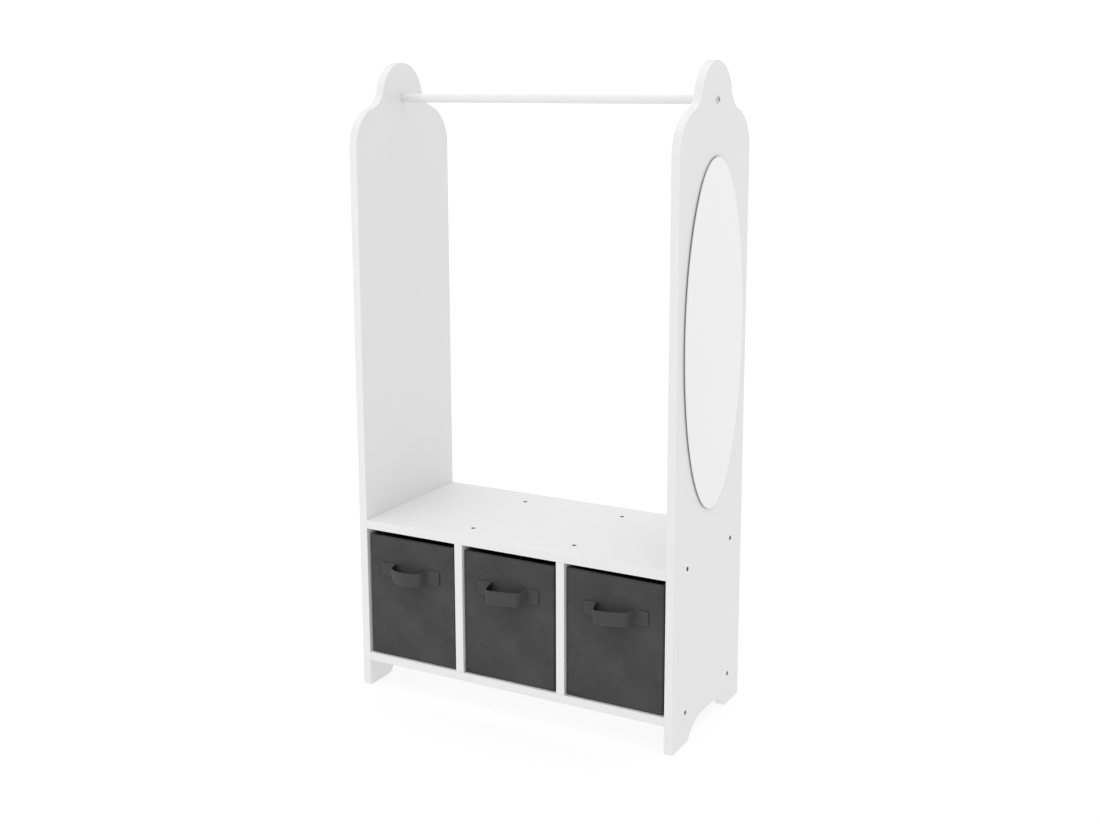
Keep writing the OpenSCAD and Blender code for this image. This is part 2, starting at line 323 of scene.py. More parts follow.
@dataclass(frozen=True)
class PaintedHardboard(Finish):
    """Thin hardboard painted by roller: flatter shine, with pressed fibres showing through."""

    shine: Values = (("IOR", 1.5),)
    fibre: float = 0.9 * MM
    depth: float = 0.03 * MM

    def raised(self, tree: NodeTree, place: NodeSocket) -> Heights:
        """Short fibres that lie two ways.

        Args:
            tree: The material's tree.
            place: Socket of the coordinates.

        Returns:
            The fibres' socket and height.
        """
        one, two = (
            Relief(self.fibre, self.depth, drawn=(1.0, 1.0, 0.16), turn=turn).draw(tree, place)
            for turn in (0.4, 1.7)
        )
        both = add_node(tree, "ShaderNodeMath", {0: one, 1: two}, operation="MAXIMUM")
        return [(both, self.depth)]


CLOUDS = Relief(7 * MM, 0.05 * MM, (("Detail", 4.0), ("Roughness", 0.6), ("Distortion", 0.4)))
# Single fibres are about 0.02 mm; they are drawn 0.25 mm thick so that they show at all.
FIBRES = Relief(0.25 * MM, 0.03 * MM, (("Detail", 2.0), ("Distortion", 1.2)))
RIBS = Relief(
    9.4248 * MM, 0.05 * MM, (("Distortion", 0.6), ("Detail", 1.0)), Texture.LINES, "Y"
)


@dataclass(frozen=True)
class NonwovenCloth(Finish):
    """Spun-bonded polyester cloth: matt, cloudy where the fibres lie thicker, a soft sheen at
    grazing angles, and pressed all over with small bonding points.

    Attributes:
        bond: Spacing of the bonding points.
        bond_depth: How deep they are pressed in.
    """

    shine: Values = (
        ("IOR", 1.46), ("Specular IOR Level", 0.22), ("Sheen Weight", 0.12),
        ("Sheen Roughness", 0.45),
    )
    reliefs: tuple[Relief, ...] = (CLOUDS, FIBRES)
    coords: str = "UV"
    bond: float = 1.5 * MM
    bond_depth: float = 0.05 * MM

    def raised(self, tree: NodeTree, place: NodeSocket) -> Heights:
        """Clouds, bonding points and fibres. The first two also shade the cloth.

        Args:
            tree: The material's tree.
            place: Socket of the coordinates, in metres on the cloth.

        Returns:
            Every pattern's socket and height.
        """
        clouds, *finer = super().raised(tree, place)
        # Diamonds of bonding points: a square lattice turned by 45 degrees.
        lattice = add_node(tree, "ShaderNodeMapping", {
            "Vector": place, "Rotation": (0.0, 0.0, math.pi / 4), "Scale": (1 / self.bond,) * 3,
        })
        bonds = add_node(tree, "ShaderNodeTexVoronoi", {
            "Vector": lattice, "Scale": 1.0, "Randomness": 0.12,
        }, voronoi_dimensions="2D")
        pressed = add_node(tree, "ShaderNodeMapRange", {
            "Value": bonds, "From Min": 0.14, "From Max": 0.30, "To Min": 0.0, "To Max": 1.0,
        }, interpolation_type="SMOOTHSTEP")
        thin = add_node(tree, "ShaderNodeMapRange", {
            "Value": clouds[0], "From Min": 0.3, "From Max": 0.7, "To Min": 0.96, "To Max": 1.04,
        })
        worn = {0: pressed, 1: 0.04, 2: 0.97}
        worn = add_node(tree, "ShaderNodeMath", worn, operation="MULTIPLY_ADD")
        level = add_node(tree, "ShaderNodeMath", {0: thin, 1: worn}, operation="MULTIPLY")
        colour = tree.nodes["Principled BSDF"].inputs["Base Color"]
        tone = {0: colour.links[0].from_socket, 3: level}
        tree.links.new(add_node(tree, "ShaderNodeVectorMath", tone, operation="SCALE"), colour)
        return [clouds, (pressed, self.bond_depth), *finer]


@dataclass(frozen=True)
class SewingThread(Finish):
    """Twisted polyester thread, slightly shinier than cloth: the plies' twist is drawn coarser
    than life so that it shows.
    """

    shine: Values = (("Sheen Weight", 0.3),)
    reliefs: tuple[Relief, ...] = (
        Relief(1 * MM, 0.05 * MM, (("Distortion", 1.0),), Texture.LINES, "DIAGONAL"),
    )


@dataclass(frozen=True)
class TurnedSteel(Finish):
    """Plated steel screw: a metal shine with the fine scuffs of turning."""

    shine: Values = (("Metallic", 1.0),)
    reliefs: tuple[Relief, ...] = (
        Relief(0.35 * MM, 0.01 * MM, (("Detail", 3.0), ("Distortion", 0.8))),
    )


@dataclass(frozen=True)
class SilveredGlass(Finish):
    """Float glass silvered on the back: a clear reflection with a breath of waviness."""

    shine: Values = (
        ("Metallic", 1.0), ("Coat Weight", 1.0), ("Coat Roughness", 0.01), ("Coat IOR", 1.52),
    )
    reliefs: tuple[Relief, ...] = (Relief(110 * MM, 0.01 * MM, (("Detail", 0.0),)),)


@dataclass(frozen=True)
class GroundGlass(Finish):
    """Ground edge of sheet glass: grey-green, satin, with the wheel's grit in it."""

    shine: Values = (("IOR", 1.52),)
    reliefs: tuple[Relief, ...] = (Relief(0.3 * MM, 0.02 * MM, (("Detail", 3.0),)),)


@dataclass(frozen=True)
class BeechWood(Finish):
    """Bare beech: pale pinkish brown with short dark flecks along the grain."""

    shine: Values = (("IOR", 1.5),)
    reliefs: tuple[Relief, ...] = (
        Relief(0.5 * MM, 0.05 * MM, (("Detail", 3.0),), drawn=(0.15, 1.0, 0.15)),
    )


@dataclass(frozen=True)
class GreyCard(Finish):
    """Pressed waste-paper board: dull brown grey, speckled with lighter and darker pulp."""

    reliefs: tuple[Relief, ...] = (
        Relief(1.2 * MM, 0.06 * MM, (("Detail", 5.0), ("Roughness", 0.7))),
    )


@dataclass(frozen=True)
class FoamTape(Finish):
    """Closed-cell foam tape: off-white, dull, with small open bubbles on its cut edges."""

    reliefs: tuple[Relief, ...] = (Relief(0.6 * MM, 0.08 * MM, texture=Texture.CELLS),)


@dataclass(frozen=True)
class StudioFloor(Finish):
    """Matt white studio sweep, lit through so that shadows stay faint."""

    shine: Values = (("Emission Color", (1.0, 1.0, 1.0, 1.0)), ("Emission Strength", 0.79))


@dataclass(frozen=True)
class Finishes:
    """Every finish of the unit."""

    board: Finish = SatinPaint(
        "satin_paint_board_face", "#E4E4E4", "#E1E1E1", 90 * MM, (0.36, 0.44)
    )
    # A routed edge drinks in more paint than a face, so it is duller and a little grainier.
    edge: Finish = SatinPaint(
        "satin_paint_routed_edge", "#E4E4E4", "#E0E0E0", 30 * MM, (0.46, 0.58),
        reliefs=(PAINT_WAVES, Relief(0.9 * MM, 0.02 * MM, PEEL)),
    )
    rail: Finish = SatinPaint(
        "satin_paint_round_bar", "#E4E4E4", "#E0E0E0", 40 * MM, (0.34, 0.44), reliefs=(
            Relief(25 * MM, 0.012 * MM, (("Detail", 1.0),), drawn=ALONG_BAR),
            Relief(1.2 * MM, 0.008 * MM, PEEL, drawn=ALONG_BAR),
        ),
    )
    hardboard: Finish = PaintedHardboard(
        "painted_hardboard", "#DFDFDE", "#DADAD8", 60 * MM, (0.5, 0.62)
    )
    cloth: Finish = NonwovenCloth(
        "nonwoven_cloth_dark_grey", "#535354", "#262627", 80 * MM, (0.66, 0.8)
    )
    lining: Finish = NonwovenCloth(
        "nonwoven_lining_dark_grey", "#3A3A3B", "#323233", 40 * MM, (0.72, 0.86)
    )
    # The strap's pressed layers show faint lines along it.
    strap: Finish = NonwovenCloth(
        "pressed_cloth_strap", "#484849", "#3B3B3C", 24 * MM, (0.6, 0.74),
        reliefs=(CLOUDS, FIBRES, RIBS),
    )
    # Its underside is drawn near black with hardly any shine or sheen: painted shade, standing for
    # the dark hollow inside the loop.
    strap_underside_painted_shade: Finish = NonwovenCloth(
        "strap_underside_painted_shade_cloth", "#1E1E1F", "#19191A", 24 * MM, (0.8, 0.92), shine=(
            ("IOR", 1.46), ("Specular IOR Level", 0.06), ("Sheen Weight", 0.02),
            ("Sheen Roughness", 0.45),
        ),
    )
    thread: Finish = SewingThread(
        "sewing_thread_dark_grey", "#525253", "#474748", 3 * MM, (0.5, 0.6)
    )
    black_steel: Finish = TurnedSteel(
        "blackened_steel", "#6C6C6E", "#525254", 2 * MM, (0.26, 0.4)
    )
    zinc: Finish = TurnedSteel("zinc_plated_steel", "#C9CACC", "#B6B7BA", 3 * MM, (0.2, 0.34))
    mirror: Finish = SilveredGlass(
        "silvered_float_glass", "#E4E4E4", "#E1E1E1", 200 * MM, (0.012, 0.022)
    )
    glass_edge: Finish = GroundGlass(
        "ground_glass_edge", "#8A8F8D", "#767B79", 12 * MM, (0.3, 0.45)
    )
    beech: Finish = BeechWood("bare_beech", "#D2B088", "#B98F63", 2 * MM, (0.55, 0.7))
    card: Finish = GreyCard("grey_card", "#8D8272", "#71675A", 2.5 * MM, (0.85, 0.95))
    foam: Finish = FoamTape("foam_tape", "#E4E2DC", "#D8D6D0", 4 * MM, (0.75, 0.9))
    floor: Finish = StudioFloor("studio_floor", "#7A7A7A", "#767676", 0.8, (0.8, 0.9))


FINISH = Finishes()


# ---------------------------------------------------------------- mesh helpers


def put(name: str, data: ID) -> Object:
    """Put new data in the scene.

    Args:
        name: The object's name.
        data: Its mesh, lamp or camera.

    Returns:
        The object.
    """
    obj = bpy.data.objects.new(name, data)
    bpy.context.scene.collection.objects.link(obj)
    return obj


@dataclass
class Solid:
    """Points and faces that are being put together into one mesh."""

    points: list[Vector] = field(default_factory=list)
    faces: Faces = field(default_factory=list)

    def add(self, points: Iterable[Vector], faces: Faces) -> None:
        """Add a closed form.

        Args:
            points: Its points.
            faces: Its faces, as places among its points.
        """
        start = len(self.points)
        self.points.extend(Vector(p) for p in points)
        self.faces.extend(tuple(start + i for i in f) for f in faces)

    def line(self, points: Sequence[Vector]) -> None:
        """Add an open row of points, joined by edges, for what is grown along it."""
        self.add(points, [(i, i + 1) for i in range(len(points) - 1)])

    def prism(self, outline: Sequence[Vector], rise: Vector) -> None:
        """Add an outline that is given a thickness.

        Args:
            outline: Points of one face, in order.
            rise: From that face to the other.
        """
        n = len(outline)
        points = [*outline, *(Vector(p) + rise for p in outline)]
        walls = [(i, (i + 1) % n, n + (i + 1) % n, n + i) for i in range(n)]
        self.add(points, [tuple(range(n))[::-1], tuple(range(n, 2 * n)), *walls])

    def box(self, low: Sequence[float], high: Sequence[float]) -> None:
        """Add a box between two corners.

        Args:
            low: Its lowest corner.
            high: Its highest corner.
        """
        (x0, y0, z0), (x1, y1, z1) = low, high
        floor = [Vector((x, y, z0)) for x, y in ((x0, y0), (x1, y0), (x1, y1), (x0, y1))]
        self.prism(floor, Vector((0, 0, z1 - z0)))

    def tube(self, rings: Sequence[Sequence[Vector]]) -> None:
        """Add rings of points, joined by walls and closed at both ends.

        Args:
            rings: The rings, in order, each with the same number of points.
        """
        n, last = len(rings[0]), (len(rings) - 1) * len(rings[0])
        faces: Faces = [tuple(range(n))]
        for a in range(0, last, n):
            faces += [(a + i, a + n + i, a + n + (i + 1) % n, a + (i + 1) % n) for i in range(n)]
        faces.append(tuple(range(last, last + n))[::-1])
        self.add([point for ring in rings for point in ring], faces)

    def lathe(self, profile: Profile, foot: Vector, axis: Vector, sides: int) -> None:
        """Add a profile turned about an axis.

        Args:
            profile: Distances along the axis and from it; the first and last lie on it.
            foot: The point that the distances along the axis start from.
            axis: The axis' direction.
            sides: How many sides the round has.
        """
        turn = axis.to_track_quat("Z", "Y").to_matrix()
        round_ = [2 * math.pi * i / sides for i in range(sides)]
        points = [foot + axis * profile[0][0]]
        for along, r in profile[1:-1]:
            points += [
                foot + turn @ Vector((r * math.cos(a), r * math.sin(a), along)) for a in round_
            ]
        points.append(foot + axis * profile[-1][0])
        last, after = len(points) - 1, [(i + 1) % sides for i in range(sides)]
        faces: Faces = [(0, 1 + j, 1 + i) for i, j in enumerate(after)]
        for a in range(1, last - sides, sides):
            b = a + sides
            faces += [(a + i, a + j, b + j, b + i) for i, j in enumerate(after)]
        faces += [(last - sides + i, last - sides + j, last) for i, j in enumerate(after)]
        self.add(points, faces)

    def make(self, name: str, *finishes: Finish) -> Object:
        """Make the object, with its faces turned outwards.

        Args:
            name: The object's name.
            *finishes: Its finishes, in the order of its material slots.

        Returns:
            The object, in the scene.
        """
        mesh = bpy.data.meshes.new(name)
        mesh.from_pydata(self.points, [], self.faces)
        for finish in finishes:
            mesh.materials.append(finish.material())
        form = bmesh.new()
        form.from_mesh(mesh)
        bmesh.ops.recalc_face_normals(form, faces=form.faces)
        form.to_mesh(mesh)
        form.free()
        return put(name, mesh)


def apply_modifiers(obj: Object) -> None:
    """Make what the modifiers give the object's own plain mesh.

    Args:
        obj: The object, whose modifiers are removed.
    """
    graph = bpy.context.evaluated_depsgraph_get()
    mesh = bpy.data.meshes.new_from_object(
        obj.evaluated_get(graph), preserve_all_data_layers=True, depsgraph=graph
    )
    obj.modifiers.clear()
    old, obj.data = obj.data, mesh
    mesh.name = obj.name
    bpy.data.meshes.remove(old)


def smooth(obj: Object, crease: float = 32.0) -> None:
    """Shade smoothly, but keep creases sharp, and keep large flats flat.

    Args:
        obj: The object.
        crease: Angle in degrees past which an edge is sharp.
    """
    obj.data.shade_smooth()
    obj.data.set_sharp_from_angle(angle=math.radians(crease))
    weigh = obj.modifiers.new("flat_faces_lead", "WEIGHTED_NORMAL")
    weigh.keep_sharp, weigh.weight = True, 80
    apply_modifiers(obj)


def quarter(degrees: Sequence[float], radius: float) -> Profile:
    """Points of a rounded edge, by how far each lies in from the side and in from the end.

    Args:
        degrees: Where on the quarter the points lie: 0 on the side, 90 on the end.
        radius: Its radius.

    Returns:
        The points.
    """
    turns = (math.radians(d) for d in degrees)
    return [(radius * (1 - math.cos(a)), radius * (1 - math.sin(a))) for a in turns]


def arc(
    centre: Sequence[float], radius: float, start: float, end: float, step: float = 2.5
) -> Profile:
    """Points on an arc.

    Args:
        centre: Its centre, in the plane of the outline.
        radius: Its radius.
        start: Heading of its first point, in degrees.
        end: Heading of its last point.
        step: Greatest angle between two points.

    Returns:
        The points, with both ends.
    """
    count = max(1, math.ceil(abs(end - start) / step))
    headings = (math.radians(start + (end - start) * i / count) for i in range(count + 1))
    x, y = centre
    return [(x + radius * math.cos(a), y + radius * math.sin(a)) for a in headings]


def dress(obj: Object, body: str, slot: str, *nodes: str) -> None:
    """Put a finished piece on its body, and hide the CAD nodes that it stands for.

    Args:
        obj: The piece.
        body: The CAD body that it rides on.
        slot: The record's material slot. Not used.
        *nodes: The CAD nodes that it replaces.
    """
    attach(obj, body)
    if nodes:
        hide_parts(*nodes)
    LOG.info("%s: %d faces on %s", obj.name, len(obj.data.polygons), body)


def finish_cad(node: str, finish: Finish) -> None:
    """Give a CAD node, whose shape is right as it is, its real finish.

    Args:
        node: The node's name.
        finish: Its finish.
    """
    slots = bpy.data.objects[node].data.materials
    slots.clear()
    slots.append(finish.material())
    LOG.info("%s: CAD solid in %s", node, finish.name)


# ---------------------------------------------------------------- geometry trees


def new_tree(name: str, *sizes: str) -> tuple[NodeTree, dict[str, NodeSocket]]:
    """Start a geometry tree with named inputs, among them a seed and a material.

    Args:
        name: The tree's name.
        *sizes: Names of the inputs for sizes.

    Returns:
        The tree, and the inputs' sockets by name.
    """
    tree = bpy.data.node_groups.new(name, "GeometryNodeTree")
    kinds = {"Geometry": "Geometry", **dict.fromkeys(sizes, "Float"), "Seed": "Int"}
    for label, kind in {**kinds, "Material": "Material"}.items():
        tree.interface.new_socket(label, in_out="INPUT", socket_type="NodeSocket" + kind)
    tree.interface.new_socket("Geometry", in_out="OUTPUT", socket_type="NodeSocketGeometry")
    entry = add_node(tree, "NodeGroupInput").node
    return tree, {s.name: s for s in entry.outputs if s.name}


def end_tree(
    tree: NodeTree, given: dict[str, NodeSocket], places: NodeSocket, form: NodeSocket,
    aim: tuple[str, NodeSocket], spin: tuple[Sequence[float], object, object],
) -> None:
    """End a tree: put a form on every place, turned at random, as real meshes in their material.

    Args:
        tree: The tree.
        given: Its inputs' sockets.
        places: Socket of the places.
        form: Socket of the form.
        aim: The form's own axis that is aimed, and where it is aimed.
        spin: The axis that it is turned about, and its least and greatest turn.
    """
    aimed = add_node(
        tree, "FunctionNodeAlignRotationToVector", {"Vector": aim[1]}, axis=aim[0]
    )
    angle = {2: spin[1], 3: spin[2], "Seed": given["Seed"]}
    angle = add_node(tree, "FunctionNodeRandomValue", angle, 1, data_type="FLOAT")
    turn = add_node(tree, "FunctionNodeAxisAngleToRotation", {"Axis": spin[0], "Angle": angle})
    turned = add_node(
        tree, "FunctionNodeRotateRotation", {0: aimed, 1: turn}, rotation_space="LOCAL"
    )
    copies = {"Points": places, "Instance": form, "Rotation": turned}
    copies = add_node(tree, "GeometryNodeInstanceOnPoints", copies)
    real = add_node(tree, "GeometryNodeRealizeInstances", {"Geometry": copies})
    dressed = {"Geometry": real, "Material": given["Material"]}
    dressed = add_node(tree, "GeometryNodeSetMaterial", dressed)
    add_node(tree, "NodeGroupOutput", {"Geometry": dressed})


def grow(host: Object, tree: NodeTree, inputs: dict[str, object]) -> None:
    """Run a node tree on a host and keep what it makes.

    Args:
        host: The object that holds the points or lines.
        tree: The tree.
        inputs: Values for the tree's inputs, by name.
    """
    modifier = host.modifiers.new(tree.name, "NODES")
    modifier.node_group = tree
    for item in tree.interface.items_tree:
        if item.in_out == "INPUT" and item.name in inputs:
            modifier[item.identifier] = inputs[item.name]
    apply_modifiers(host)


# ---------------------------------------------------------------- screws


def raised(tree: NodeTree, form: NodeSocket, height: NodeSocket) -> NodeSocket:
    """Add a move of a form up by a height."""
    at = add_node(tree, "ShaderNodeCombineXYZ", {"Z": height})
    return add_node(tree, "GeometryNodeTransform", {"Geometry": form, "Translation": at})


def cut(tree: NodeTree, form: NodeSocket, tool: NodeSocket) -> NodeSocket:
    """Add a cut of one form out of another."""
    forms = {"Mesh 1": form, "Mesh 2": tool}
    return add_node(tree, "GeometryNodeMeshBoolean", forms, operation="DIFFERENCE", solver="EXACT")


def rod(
    tree: NodeTree, radius: NodeSocket, length: NodeSocket, top: object, sides: int
) -> NodeSocket:
    """Add a bar that hangs from a height.

    Args:
        tree: The tree.
        radius: Socket of its radius.
        length: Socket of its length.
        top: Height of its top, or its socket.
        sides: How many sides it has.

    Returns:
        The bar's socket.
    """
    bar = {"Vertices": sides, "Radius": radius, "Depth": length}
    bar = add_node(tree, "GeometryNodeMeshCylinder", bar)
    middle = {0: length, 1: -0.5, 2: top}
    return raised(
        tree, bar, add_node(tree, "ShaderNodeMath", middle, operation="MULTIPLY_ADD")
    )


class HeadForm(Enum):
    """Shapes of screw heads."""

    COUNTERSUNK = "countersunk"
    ROUND = "round"


@dataclass(frozen=True)
class Screw:
    """One kind of screw, with a hexagon socket in its head."""

    form: HeadForm
    finish: Finish
    slot: str
    head: float
    head_height: float
    neck: float
    length: float
    neck_length: float = 12 * MM
    core: float = 4.6 * MM
    socket: float = 4 * MM
    socket_depth: float = 2 * MM
    gap: float = 0.1 * MM
    sides: int = 40
    overlap: float = 0.1 * MM  # how far the neck's top lies from the face that the head is on
    core_drop: float = 0.3 * MM
    core_sides: int = 24

    def head_of(self, tree: NodeTree, given: dict[str, NodeSocket]) -> NodeSocket:
        """Add the head: a cone sunk in the board, or half of a flattened ball on it.

        Args:
            tree: The tree.
            given: Its inputs' sockets.

        Returns:
            The head's socket.
        """
        radius, high = given["Head radius"], given["Head height"]
        if self.form is HeadForm.COUNTERSUNK:
            sizes = {"Radius Top": radius, "Radius Bottom": given["Neck radius"], "Depth": high}
            cone = add_node(tree, "GeometryNodeMeshCone", {"Vertices": self.sides, **sizes})
            down = add_node(tree, "ShaderNodeMath", {0: high, 1: -1.0}, operation="MULTIPLY")
            return raised(tree, cone, down)
        ball = {"Segments": self.sides, "Rings": 20, "Radius": 1.0}
        flat = {"X": radius, "Y": radius, "Z": high}
        pressed = add_node(tree, "GeometryNodeTransform", {
            "Geometry": add_node(tree, "GeometryNodeMeshUVSphere", ball),
            "Scale": add_node(tree, "ShaderNodeCombineXYZ", flat),
        })
        lower_half = add_node(tree, "GeometryNodeTransform", {
            "Geometry": add_node(tree, "GeometryNodeMeshCube", {"Size": (0.05, 0.05, 0.02)}),
            "Translation": (0.0, 0.0, -0.01),
        })
        return cut(tree, pressed, lower_half)

    @cache
    def tree(self) -> NodeTree:
        """Make the tree that grows a screw on each point of its host.

        Each point carries the way out of the board as "out". The screws turn by a random
        angle, as they do when driven home.

        Returns:
            The tree, with its sizes as inputs.
        """
        tree, given = new_tree(
            self.form.value + "_screws", "Head radius", "Head height", "Neck radius",
            "Neck length", "Core radius", "Screw length", "Socket radius", "Socket depth",
        )
        on_board = self.form is HeadForm.ROUND
        neck_top = self.overlap if on_board else -self.overlap
        head = self.head_of(tree, given)
        neck = rod(tree, given["Neck radius"], given["Neck length"], neck_top, self.sides)
        core = rod(
            tree, given["Core radius"], given["Screw length"], -self.core_drop, self.core_sides
        )
        whole = add_node(tree, "GeometryNodeMeshBoolean", operation="UNION", solver="EXACT")
        for part in (core, neck, head):
            tree.links.new(part, whole.node.inputs["Mesh 2"])
        deep = add_node(
            tree, "ShaderNodeMath", {0: given["Socket depth"], 1: 2.0}, operation="MULTIPLY"
        )
        mouth = {0: given["Head height"], 1: float(on_board), 2: given["Socket depth"]}
        mouth = add_node(tree, "ShaderNodeMath", mouth, operation="MULTIPLY_ADD")
        screw = cut(tree, whole, rod(tree, given["Socket radius"], deep, mouth, 6))
        # The solver leaves pairs of points a hair apart where round forms cross.
        merged = {"Geometry": screw, "Distance": HAIR}
        merged = add_node(tree, "GeometryNodeMergeByDistance", merged)
        out = add_node(
            tree, "GeometryNodeInputNamedAttribute", {"Name": "out"}, "Attribute",
            data_type="FLOAT_VECTOR",
        )
        spin = ((0.0, 0.0, 1.0), 0.0, 2 * math.pi)
        end_tree(tree, given, given["Geometry"], merged, ("Z", out), spin)
        return tree

    def hole(self) -> Profile:
        """What the screw takes out of the boards, as a profile to turn.

        Returns:
            Heights over the board's face and distances from the screw's middle.
        """
        head, neck, core = (size / 2 + self.gap for size in (self.head, self.neck, self.core))
        end = -self.length - self.gap
        return [
            (1 * MM, 0.0), (1 * MM, head), (0.0, head), (-self.head_height, neck),
            (-self.neck_length, neck), (-self.neck_length, core), (end, core), (end, 0.0),
        ]

    def grow_set(self, name: str, node: str, places: Places, seed: int) -> None:
        """Grow one set and put it on the carcass.

        Args:
            name: Name of the piece.
            node: The CAD node that it replaces.
            places: Where the screws are, and the way out of the board at each.
            seed: Seed of their turns.
        """
        mesh = bpy.data.meshes.new(name)
        mesh.from_pydata([place for place, _ in places], [], [])
        ways = mesh.attributes.new("out", "FLOAT_VECTOR", "POINT").data
        for item, (_, way) in zip(ways, places):
            item.vector = way
        host = put(name, mesh)
        grow(host, self.tree(), {
            "Head radius": self.head / 2, "Head height": self.head_height,
            "Neck radius": self.neck / 2, "Neck length": self.neck_length,
            "Core radius": self.core / 2, "Screw length": self.length - self.core_drop,
            "Socket radius": self.socket / math.sqrt(3), "Socket depth": self.socket_depth,
            "Seed": seed, "Material": self.finish.material(),
        })
        smooth(host, 34)
        dress(host, "carcass", self.slot, node)


BOARD_SCREW = Screw(
    HeadForm.COUNTERSUNK, FINISH.black_steel, "dark_steel", *mm(8, 2.5, 5.5, 45)
)
# The neck under a round head is thinner than the core, which hides it.
RAIL_SCREW = Screw(HeadForm.ROUND, FINISH.zinc, "bright_steel", *mm(11.5, 3, 4.3, 40))


@dataclass
class ScrewSets:
    """Every screw of the unit: four sets that hold the boards, and the pair in the rail's ends."""

    names: tuple[str, ...] = (
        "side_screws_left", "side_screws_right", "shelf_screw_set", "base_screw_set"
    )
    seeds: tuple[int, ...] = (3, 5, 8, 13)
    rail_seed: int = 21

    def places(self) -> dict[str, Places]:
        """Places of the screws that hold the boards.

        Returns:
            The places, by CAD node.
        """
        sets = {
            f"{side.name.lower()}_side_screws": [
                (Vector((side.value * UNIT.outer_x, y, z)), side.out)
                for z in UNIT.board_zs for y in UNIT.screw_ys
            ]
            for side in Side
        }
        ends = (("shelf_screws", UNIT.shelf_top, 1), ("base_screws", UNIT.base_under, -1))
        for node, z, up in ends:
            sets[node] = [
                (Vector((x, y, z)), Vector((0, 0, up)))
                for x in (-UNIT.divider_x, UNIT.divider_x) for y in UNIT.screw_ys
            ]
        return sets

    def build(self) -> None:
        """Grow every set."""
        for name, seed, (node, places) in zip(self.names, self.seeds, self.places().items()):
            BOARD_SCREW.grow_set(name, node, places, seed)
        ends = [
            (Vector((side.value * UNIT.outer_x, UNIT.mid_y, UNIT.rail_z)), side.out)
            for side in Side
        ]
        RAIL_SCREW.grow_set("rail_screw_pair", "rail_screws", ends, self.rail_seed)


# ---------------------------------------------------------------- the carcass


@dataclass
class PanelOutline:
    """A side panel's outline: feet, shoulders, hollows and dome, about the panel's middle line."""

    dome: float = 60 * MM
    shoulder: float = 67.5 * MM
    shoulder_drop: float = 81 * MM
    hollow: float = 42.5 * MM
    foot: float = 56 * MM
    arch: float = 28.5 * MM
    foot_round: float = 12 * MM
    arch_round: float = 68 * MM

    def half(self) -> Profile:
        """The outline's right half, from the arch's middle round to the dome's top.

        Returns:
            Points as distance from the middle line and height.
        """
        reach, both = UNIT.depth / 2 - self.foot, self.foot_round + self.arch_round
        turn = math.sqrt(self.arch * (2 * both - self.arch))
        meet = math.degrees(math.atan2(both - self.arch, turn))
        points = [(0.0, self.arch)]
        points += arc((reach - turn, self.arch - self.arch_round), self.arch_round, 90, meet)
        points += arc((reach, self.foot_round), self.foot_round, 180 + meet, 270, 5)[1:]
        points.append((UNIT.depth / 2, 0.0))
        # The hollow's circle touches the dome's and the shoulder's, which gives its middle.
        base = Vector((UNIT.depth / 2 - self.shoulder, -self.shoulder_drop))
        near, far, gap = self.dome + self.hollow, self.shoulder + self.hollow, base.length
        along = (near**2 - far**2 + gap**2) / (2 * gap)
        off = math.sqrt(near**2 - along**2)
        way = base / gap
        pit = along * way + off * Vector((-way.y, way.x))
        low = math.degrees(math.atan2(pit.y - base.y, pit.x - base.x))
        high = math.degrees(math.atan2(pit.y, pit.x))
        for centre, radius, start, end in (
            (base, self.shoulder, 0, low),
            (pit, self.hollow, 180 + low, 180 + high),
            (Vector((0, 0)), self.dome, high, 90),
        ):
            run = arc((centre.x, centre.y + UNIT.rail_z), radius, start, end)
            points += run if start == 0 else run[1:]
        return points

    def whole(self) -> Profile:
        """The whole outline, in order."""
        right = self.half()
        return right + [(-q, z) for q, z in reversed(right[1:-1])]


